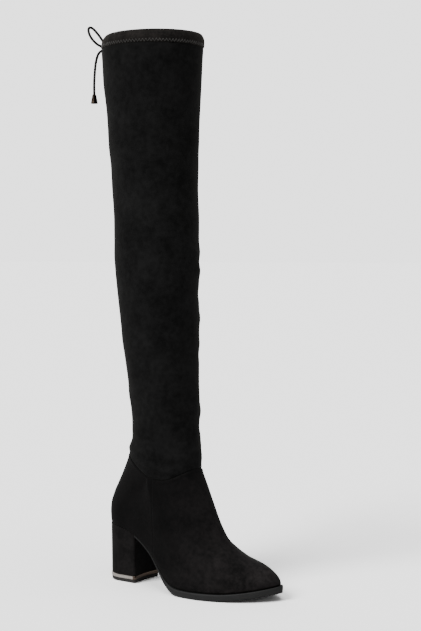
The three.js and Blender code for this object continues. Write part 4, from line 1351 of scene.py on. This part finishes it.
@dataclass
class Heel:
    """Covered block heel with a metal band and a rubber top lift."""

    form: BootForm
    tip_length: float = 45.5
    tip_width: float = 46.0
    tip: float = 4.0
    band_height: float = 4.0
    band_wall: float = 1.2
    band_proud: float = 0.5
    hollow: float = 2.5
    back_corner: float = 22.0
    front_corner: float = 2.5
    gap: float = PIECE_GAP
    breast: float = HEEL_BREAST

    def half_outline(self, back: float, front: float, half: float, corner: tuple[float, float]) -> list:
        """Points from the middle of the breast round the outer side to the middle of the back."""
        f = self.front_corner
        points = []
        for i in range(15):
            y = -(half - f) * i / 14
            points.append((front - self.hollow * (1 - (y / (half - f)) ** 2), y))
        for i in range(1, 9):
            turn = math.pi / 2 * i / 8
            points.append((front - f + f * math.cos(turn), -(half - f) - f * math.sin(turn)))
        side = points[-1]
        start = (back + corner[0], -half)
        for i in range(1, 10):
            points.append(tuple(mix(np.array(side), np.array(start), i / 10)))
        for i in range(31):
            turn = math.pi / 2 * i / 30
            y = -(half - corner[1]) - corner[1] * math.cos(turn)
            points.append((back + corner[0] * (1 - math.sin(turn)), y))
        if half - corner[1] > 1e-6:
            points.append((back, 0.0))
        return points

    def loop(self, share: float, out: float) -> Points:
        """Outline of the heel at a share of its height, moved out by a distance."""
        t = (float(smooth(np.array(share))) + share) / 2
        back = mix(-self.tip_length / 2, self.form.heel_back, t) - out
        front = mix(self.tip_length / 2, self.breast, t) + out
        half = mix(self.tip_width, self.form.seat_width, t) / 2 + out
        corner_x = mix(self.back_corner, self.form.foot_length * 0.12, t) + out
        corner_y = min(mix(self.back_corner, self.form.seat_width / 2, t) + out, half - 1e-3)
        points = self.half_outline(back, front, half, (corner_x, corner_y))
        mirrored = [(x, -y) for x, y in points[1:-1][::-1]]
        return np.array(points + mirrored)

    def body(self, rings: Sequence[tuple[float, float, Along]]) -> Mesh:
        """Close a body through rings of the heel's outline.

        Args:
            rings: For each ring its share of the heel's height, its distance outwards and its height.

        Returns:
            The body, open at both ends.
        """
        loops = [self.loop(share, out) for share, out, _ in rings]
        heights = [height for _, _, height in rings]
        columns, last = len(loops[0]), len(rings) - 1

        def place(u: Array, v: Array) -> Points:
            k = np.rint(u * columns).astype(int) % columns
            ring = np.rint(v * last).astype(int)
            flat = np.array([loops[r][c] for r, c in zip(ring, k)])
            z = np.array([float(heights[r](np.array([x]))[0]) for r, x in zip(ring, flat[:, 0])])
            return np.column_stack([flat, z])

        return sheet(columns, last, place, 190, 70)

    def capped(self, made: Mesh) -> Mesh:
        """Close the two ends of a body."""
        bmesh.ops.holes_fill(made, edges=[e for e in made.edges if e.is_boundary], sides=0)
        bmesh.ops.triangulate(made, faces=[f for f in made.faces if len(f.verts) > 4])
        bmesh.ops.recalc_face_normals(made, faces=made.faces)
        return made

    def build(self) -> None:
        """Make block, band and top lift."""
        low = self.tip + self.gap
        top = low + self.band_height
        seat = lambda x: self.form.feather(x) - self.gap
        neck = -(self.band_wall - self.band_proud) - self.gap
        between = lambda share: lambda x: mix(top + self.gap, seat(x), share)
        rings = foot_rings((neck, low), (neck, top + 0.2), (-0.5, top + 0.3), (-0.1, top + 0.6), (0, top + 1.1))
        rings += [(s, 0.0, between(s)) for s in np.linspace(0.04, 0.96, 24)]
        rings += [(1.0, -0.1, between(0.985)), (1.0, -0.6, between(1.0))]
        piece(self.capped(self.body(rings)), "heel_cover", (HEEL_SUEDE,), ("heel_block",), sharp=50)
        face, inner = self.band_proud, self.band_proud - self.band_wall
        rings = foot_rings(
            (face - 0.35, low), (face - 0.1, low + 0.12), (face, low + 0.4), (face, low + 1.6),
            (face, top - 0.4), (face - 0.1, top - 0.12), (face - 0.35, top), (inner, top), (inner, low),
            (face - 0.35, low),
        )  # fmt: skip
        made = self.body(rings)
        bmesh.ops.recalc_face_normals(made, faces=made.faces)
        piece(made, "heel_ring", (BAND_STEEL,), ("heel_band",), sharp=50)
        rings = foot_rings(
            (-2.0, 0), (-0.9, 0), (-0.5, 0.15), (-0.3, 0.6), (-0.1, 2), (0, 3.5), (-0.1, 3.85), (-0.5, self.tip)
        )
        piece(self.capped(self.body(rings)), "top_lift", (LIFT_RUBBER,), ("heel_tip",), sharp=50)


def plate(outline: Sequence, holes: Sequence, thickness: float, bevel: float) -> Mesh:
    """Cast a plate with rounded edges.

    Args:
        outline: Points of its outline, in millimetres.
        holes: Outlines of its windows.
        thickness: Thickness in millimetres, upwards from 0.
        bevel: Width of the rounding of its edges.

    Returns:
        The closed plate, in millimetres.
    """
    made = bmesh.new()
    for loop in (outline, *holes):
        verts = [made.verts.new((x, y, 0.0)) for x, y in loop]
        for pair in zip(verts, verts[1:] + verts[:1]):
            made.edges.new(pair)
    bmesh.ops.triangle_fill(made, use_beauty=True, use_dissolve=False, edges=made.edges[:])
    grown = bmesh.ops.extrude_face_region(made, geom=made.faces[:])
    lifted = [item for item in grown["geom"] if isinstance(item, bmesh.types.BMVert)]
    bmesh.ops.translate(made, verts=lifted, vec=(0, 0, thickness))
    bmesh.ops.recalc_face_normals(made, faces=made.faces)
    level = [edge for edge in made.edges if abs(edge.verts[0].co.z - edge.verts[1].co.z) < 1e-6]
    rims = [edge for edge in level if edge.is_manifold and edge.calc_face_angle() > 1.2]
    rounding = {"segments": 3, "profile": 0.5, "affect": "EDGES", "material": -1, "clamp_overlap": True}
    bmesh.ops.bevel(made, geom=rims, offset=bevel, **rounding)
    return made


def rounded(width: float, low: float, high: float, corner: float, steps: int = 8) -> list:
    """Outline of an upright rounded rectangle, in millimetres."""
    points = []
    half = width / 2
    for k, (x, y) in enumerate(((half, high), (-half, high), (-half, low), (half, low))):
        centre = (x - math.copysign(corner, x), y - corner if y == high else y + corner)
        for i in range(steps + 1):
            turn = math.pi / 2 * (k + i / steps)
            points.append((centre[0] + corner * math.cos(turn), centre[1] + corner * math.sin(turn)))
    return points


@dataclass
class Slider:
    """Cast slider with its bridge, and the pull that turns under the bridge.

    Both are made at the slider's middle: x across the zip, y up the leg and z out of it.
    """

    form: BootForm
    drop: float = 8.4
    length: float = 10.5
    width: float = 8.0
    foot: float = 0.95
    plate: float = 1.5
    bridge_width: float = 2.4
    wire: float = 1.3
    span: float = 4.2
    pivot: float = 3.79
    bridge_top: float = 6.43
    pull_length: float = 18.0
    pull_width: float = 7.0
    pull_thickness: float = 1.4
    corner: float = 1.4

    def build(self) -> None:
        """Make slider and pull in their places."""
        form = self.form
        level = np.array([form.zip_level(form.zip_top - self.drop)])
        spot = form.zip_point(level)[0]
        out = Vector(form.normal(level, form.zip_angle(level))[0] * (0, 1, 1)).normalized()
        across = Vector((-1, 0, 0))
        basis = Matrix((across, out.cross(across), out)).transposed().to_4x4()
        place = Matrix.Scale(MM, 4) @ Matrix.Translation(Vector(spot)) @ basis
        for made, name, body in ((self.body(), "zip_slider", Body.BOOT), (self.pull(), "zip_pull", Body.PULL)):
            bmesh.ops.transform(made, matrix=place, verts=made.verts)
            bmesh.ops.recalc_face_normals(made, faces=made.faces)
            piece(made, f"{name}_cast", (GUNMETAL,), (name,), body=body, sharp=40)

    def body(self) -> Mesh:
        """Cast the slider: a plate with two side flanges, and the bridge over it."""
        corners = np.array(((0.45, -1), (0.75, -0.6), (0.8, 0), (1, 0.55), (1, 0.75), (0.6, 1), (0, 1)))
        corners = corners * (self.width / 2, self.length / 2)
        side = []
        for a, b, c in (corners[k : k + 3] for k in (0, 2, 4)):
            for t in np.linspace(0, 1, 9)[:-1]:
                side.append(tuple(a * (1 - t) ** 2 + 2 * b * t * (1 - t) + c * t * t))
        outline = [*side, (0.0, self.length / 2), *[(-x, y) for x, y in side[::-1]]]
        made = plate(outline, (), self.plate, 0.4)
        bmesh.ops.translate(made, verts=made.verts, vec=(0, 0, self.foot))
        for turn in (-1, 1):
            rail = np.array([(turn * (x - 0.55), y, self.foot - 0.1) for x, y in side[2:17]])
            add_mesh(made, tube(rail, 0.5, 10), 1 / MM)
        root = self.foot + self.plate / 2
        reach, rise = (self.span + self.wire) / 2, self.bridge_top - self.wire / 2 - root
        turn = np.linspace(0, np.pi, 33)
        y = -reach * np.sign(np.cos(turn)) * np.abs(np.cos(turn)) ** 0.55
        z = root + rise * np.sin(turn) ** 0.55
        line = np.column_stack([np.zeros_like(y), y, z])
        run = np.gradient(line, axis=0)
        up = np.cross((1.0, 0.0, 0.0), run / np.linalg.norm(run, axis=1)[:, None])
        last = len(line) - 1

        def place(u: Array, v: Array) -> Points:
            k = np.rint(v * last).astype(int)
            angle = 2 * np.pi * u
            flat = np.sign(np.cos(angle)) * np.abs(np.cos(angle)) ** 0.5 * self.bridge_width / 2
            thick = np.sign(np.sin(angle)) * np.abs(np.sin(angle)) ** 0.5 * self.wire / 2
            return line[k] + np.outer(flat, (1.0, 0.0, 0.0)) + up[k] * thick[:, None]

        arch = sheet(20, last, place, 7, 14)
        bmesh.ops.holes_fill(arch, edges=[edge for edge in arch.edges if edge.is_boundary], sides=0)
        add_mesh(made, arch, 1 / MM)
        return made

    def pull(self) -> Mesh:
        """Cast the pull: a tab with an eye for the bridge and a window."""
        bar = self.pull_length / 2 - self.pull_thickness / 2
        eye_half = self.bridge_width / 2 + 0.35
        eye_top = bar - self.pull_thickness / 2
        eye_foot = bar - math.hypot(self.bridge_top - self.pivot, self.span / 2 + self.wire) - 0.35
        outline = rounded(self.pull_width, -self.pull_length / 2, self.pull_length / 2, self.corner)
        eye = rounded(2 * eye_half, eye_foot, eye_top, 0.5, 4)
        window = rounded(self.pull_width - 3.4, 2.6 - self.pull_length / 2, eye_foot - 2.0, 1.0, 6)
        made = plate(outline, (eye, window), self.pull_thickness, 0.35)
        bmesh.ops.translate(made, verts=made.verts, vec=(0, -bar, self.pivot - self.pull_thickness / 2))
        return made


@dataclass
class Zip:
    """Coil zip up the inner side, with its tape, topstitching, slider and pull."""

    form: BootForm
    tape_half: float = 5.0
    recess: float = 0.6
    pitch: float = 1.3
    tooth: tuple[float, float, float] = (1.15, 0.46, 0.5)
    tape_under: float = 1.6
    tape_wall: float = 0.5
    coil_inset: float = 1.5
    stitch_off: float = 7.9
    stitch_end: float = 3.0
    stitch: tuple[float, float, float] = (3.0, 2.3, 0.26)

    def line(self, out: float, beside: float, count: int, low: float, high: float) -> tuple[Points, Points]:
        """A line beside the zip's middle.

        Args:
            out: Distance out of the surface, in millimetres.
            beside: Distance from the zip's middle line.
            count: Number of points.
            low: Height of the lower end.
            high: Height of the upper end.

        Returns:
            The points and the surface's normals.
        """
        form = self.form
        levels = np.linspace(form.zip_level(low), form.zip_level(high), 600)
        heights = form.zip_point(levels)[:, 2]
        levels = np.interp(np.linspace(low, high, count), heights, levels)
        middle = form.zip_angle(levels)
        angle = middle + beside / form.girth(levels, middle)
        return form.skin(levels, angle, np.full(count, out)), form.normal(levels, angle)

    def across(self, out: float, half: float, height: float, count: int = 24) -> tuple[Points, Points]:
        """A line across the zip at a height, and the surface's normals."""
        form = self.form
        levels = np.full(count, form.zip_level(height))
        middle = form.zip_angle(levels)
        angle = middle + np.linspace(-half, half, count) / form.girth(levels, middle)
        return form.skin(levels, angle, np.full(count, out)), form.normal(levels, angle)

    def build(self) -> None:
        """Make tape, coil and stitches, and dress slider and pull."""
        form = self.form
        low, high = form.zip_foot - self.tape_under, form.zip_top + self.tape_under
        levels = (form.zip_level(low), form.zip_level(high))

        def place(u: Array, v: Array) -> Points:
            level = mix(levels[0], levels[1], v)
            middle = form.zip_angle(level)
            beside = (u - 0.5) * 2 * self.tape_half
            return form.skin(level, middle + beside / form.girth(level, middle), np.full_like(u, -self.recess))

        made = sheet(12, 220, place, 2 * self.tape_half, high - low)
        tape = piece(made, "zip_tape", (TAPE,), ("zip_chain",))
        thicken(tape, self.tape_wall, lined=False)
        self.coil(form.zip_foot + self.coil_inset, form.zip_top - self.coil_inset)
        made = bmesh.new()
        foot, top = form.zip_foot - self.stitch_end, form.zip_top + self.stitch_end
        rows = [self.line(0.05, side * self.stitch_off, 400, foot, top) for side in (-1, 1)]
        rows += [self.across(0.05, self.stitch_off, height) for height in (foot, top)]
        for points, normals in rows:
            add_mesh(made, stitches(points, normals, *self.stitch))
        piece(made, "zip_topstitch", (SEAM_THREAD,))
        Slider(form).build()

    def coil(self, low: float, high: float) -> None:
        """Make the coil's teeth, turned in from both sides by turns."""
        count = int((high - low) / self.pitch)
        made = bmesh.new()
        for side in (-1, 1):
            points, normals = self.line(0.15, side * self.tooth[0] * 0.55, 2 * count + 1, low, high)
            first = 0 if side < 0 else 1
            for k in range(first, 2 * count, 2):
                run = points[k + 1] - points[k]
                run /= np.linalg.norm(run)
                across = np.cross(run, normals[k])
                half = self.tooth
                axes = (across * half[0], run * half[1], normals[k] * half[2])
                add_ball(made, points[k], axes, 8, 5)
        piece(made, "zip_coil", (COIL,))


def main() -> None:
    """Build the studio and the boot, piece by piece."""
    logging.basicConfig(level=logging.INFO, format="%(name)s: %(message)s")
    studio = Studio()
    studio.camera()
    studio.floor()
    studio.lights()
    form = BootForm()
    Drawcord().build()
    FootUpper(form).build()
    Shaft(form).build()
    Cuff(form).build()
    Sole(form).build()
    Heel(form).build()
    Zip(form).build()


if __name__ == "__main__":
    main()
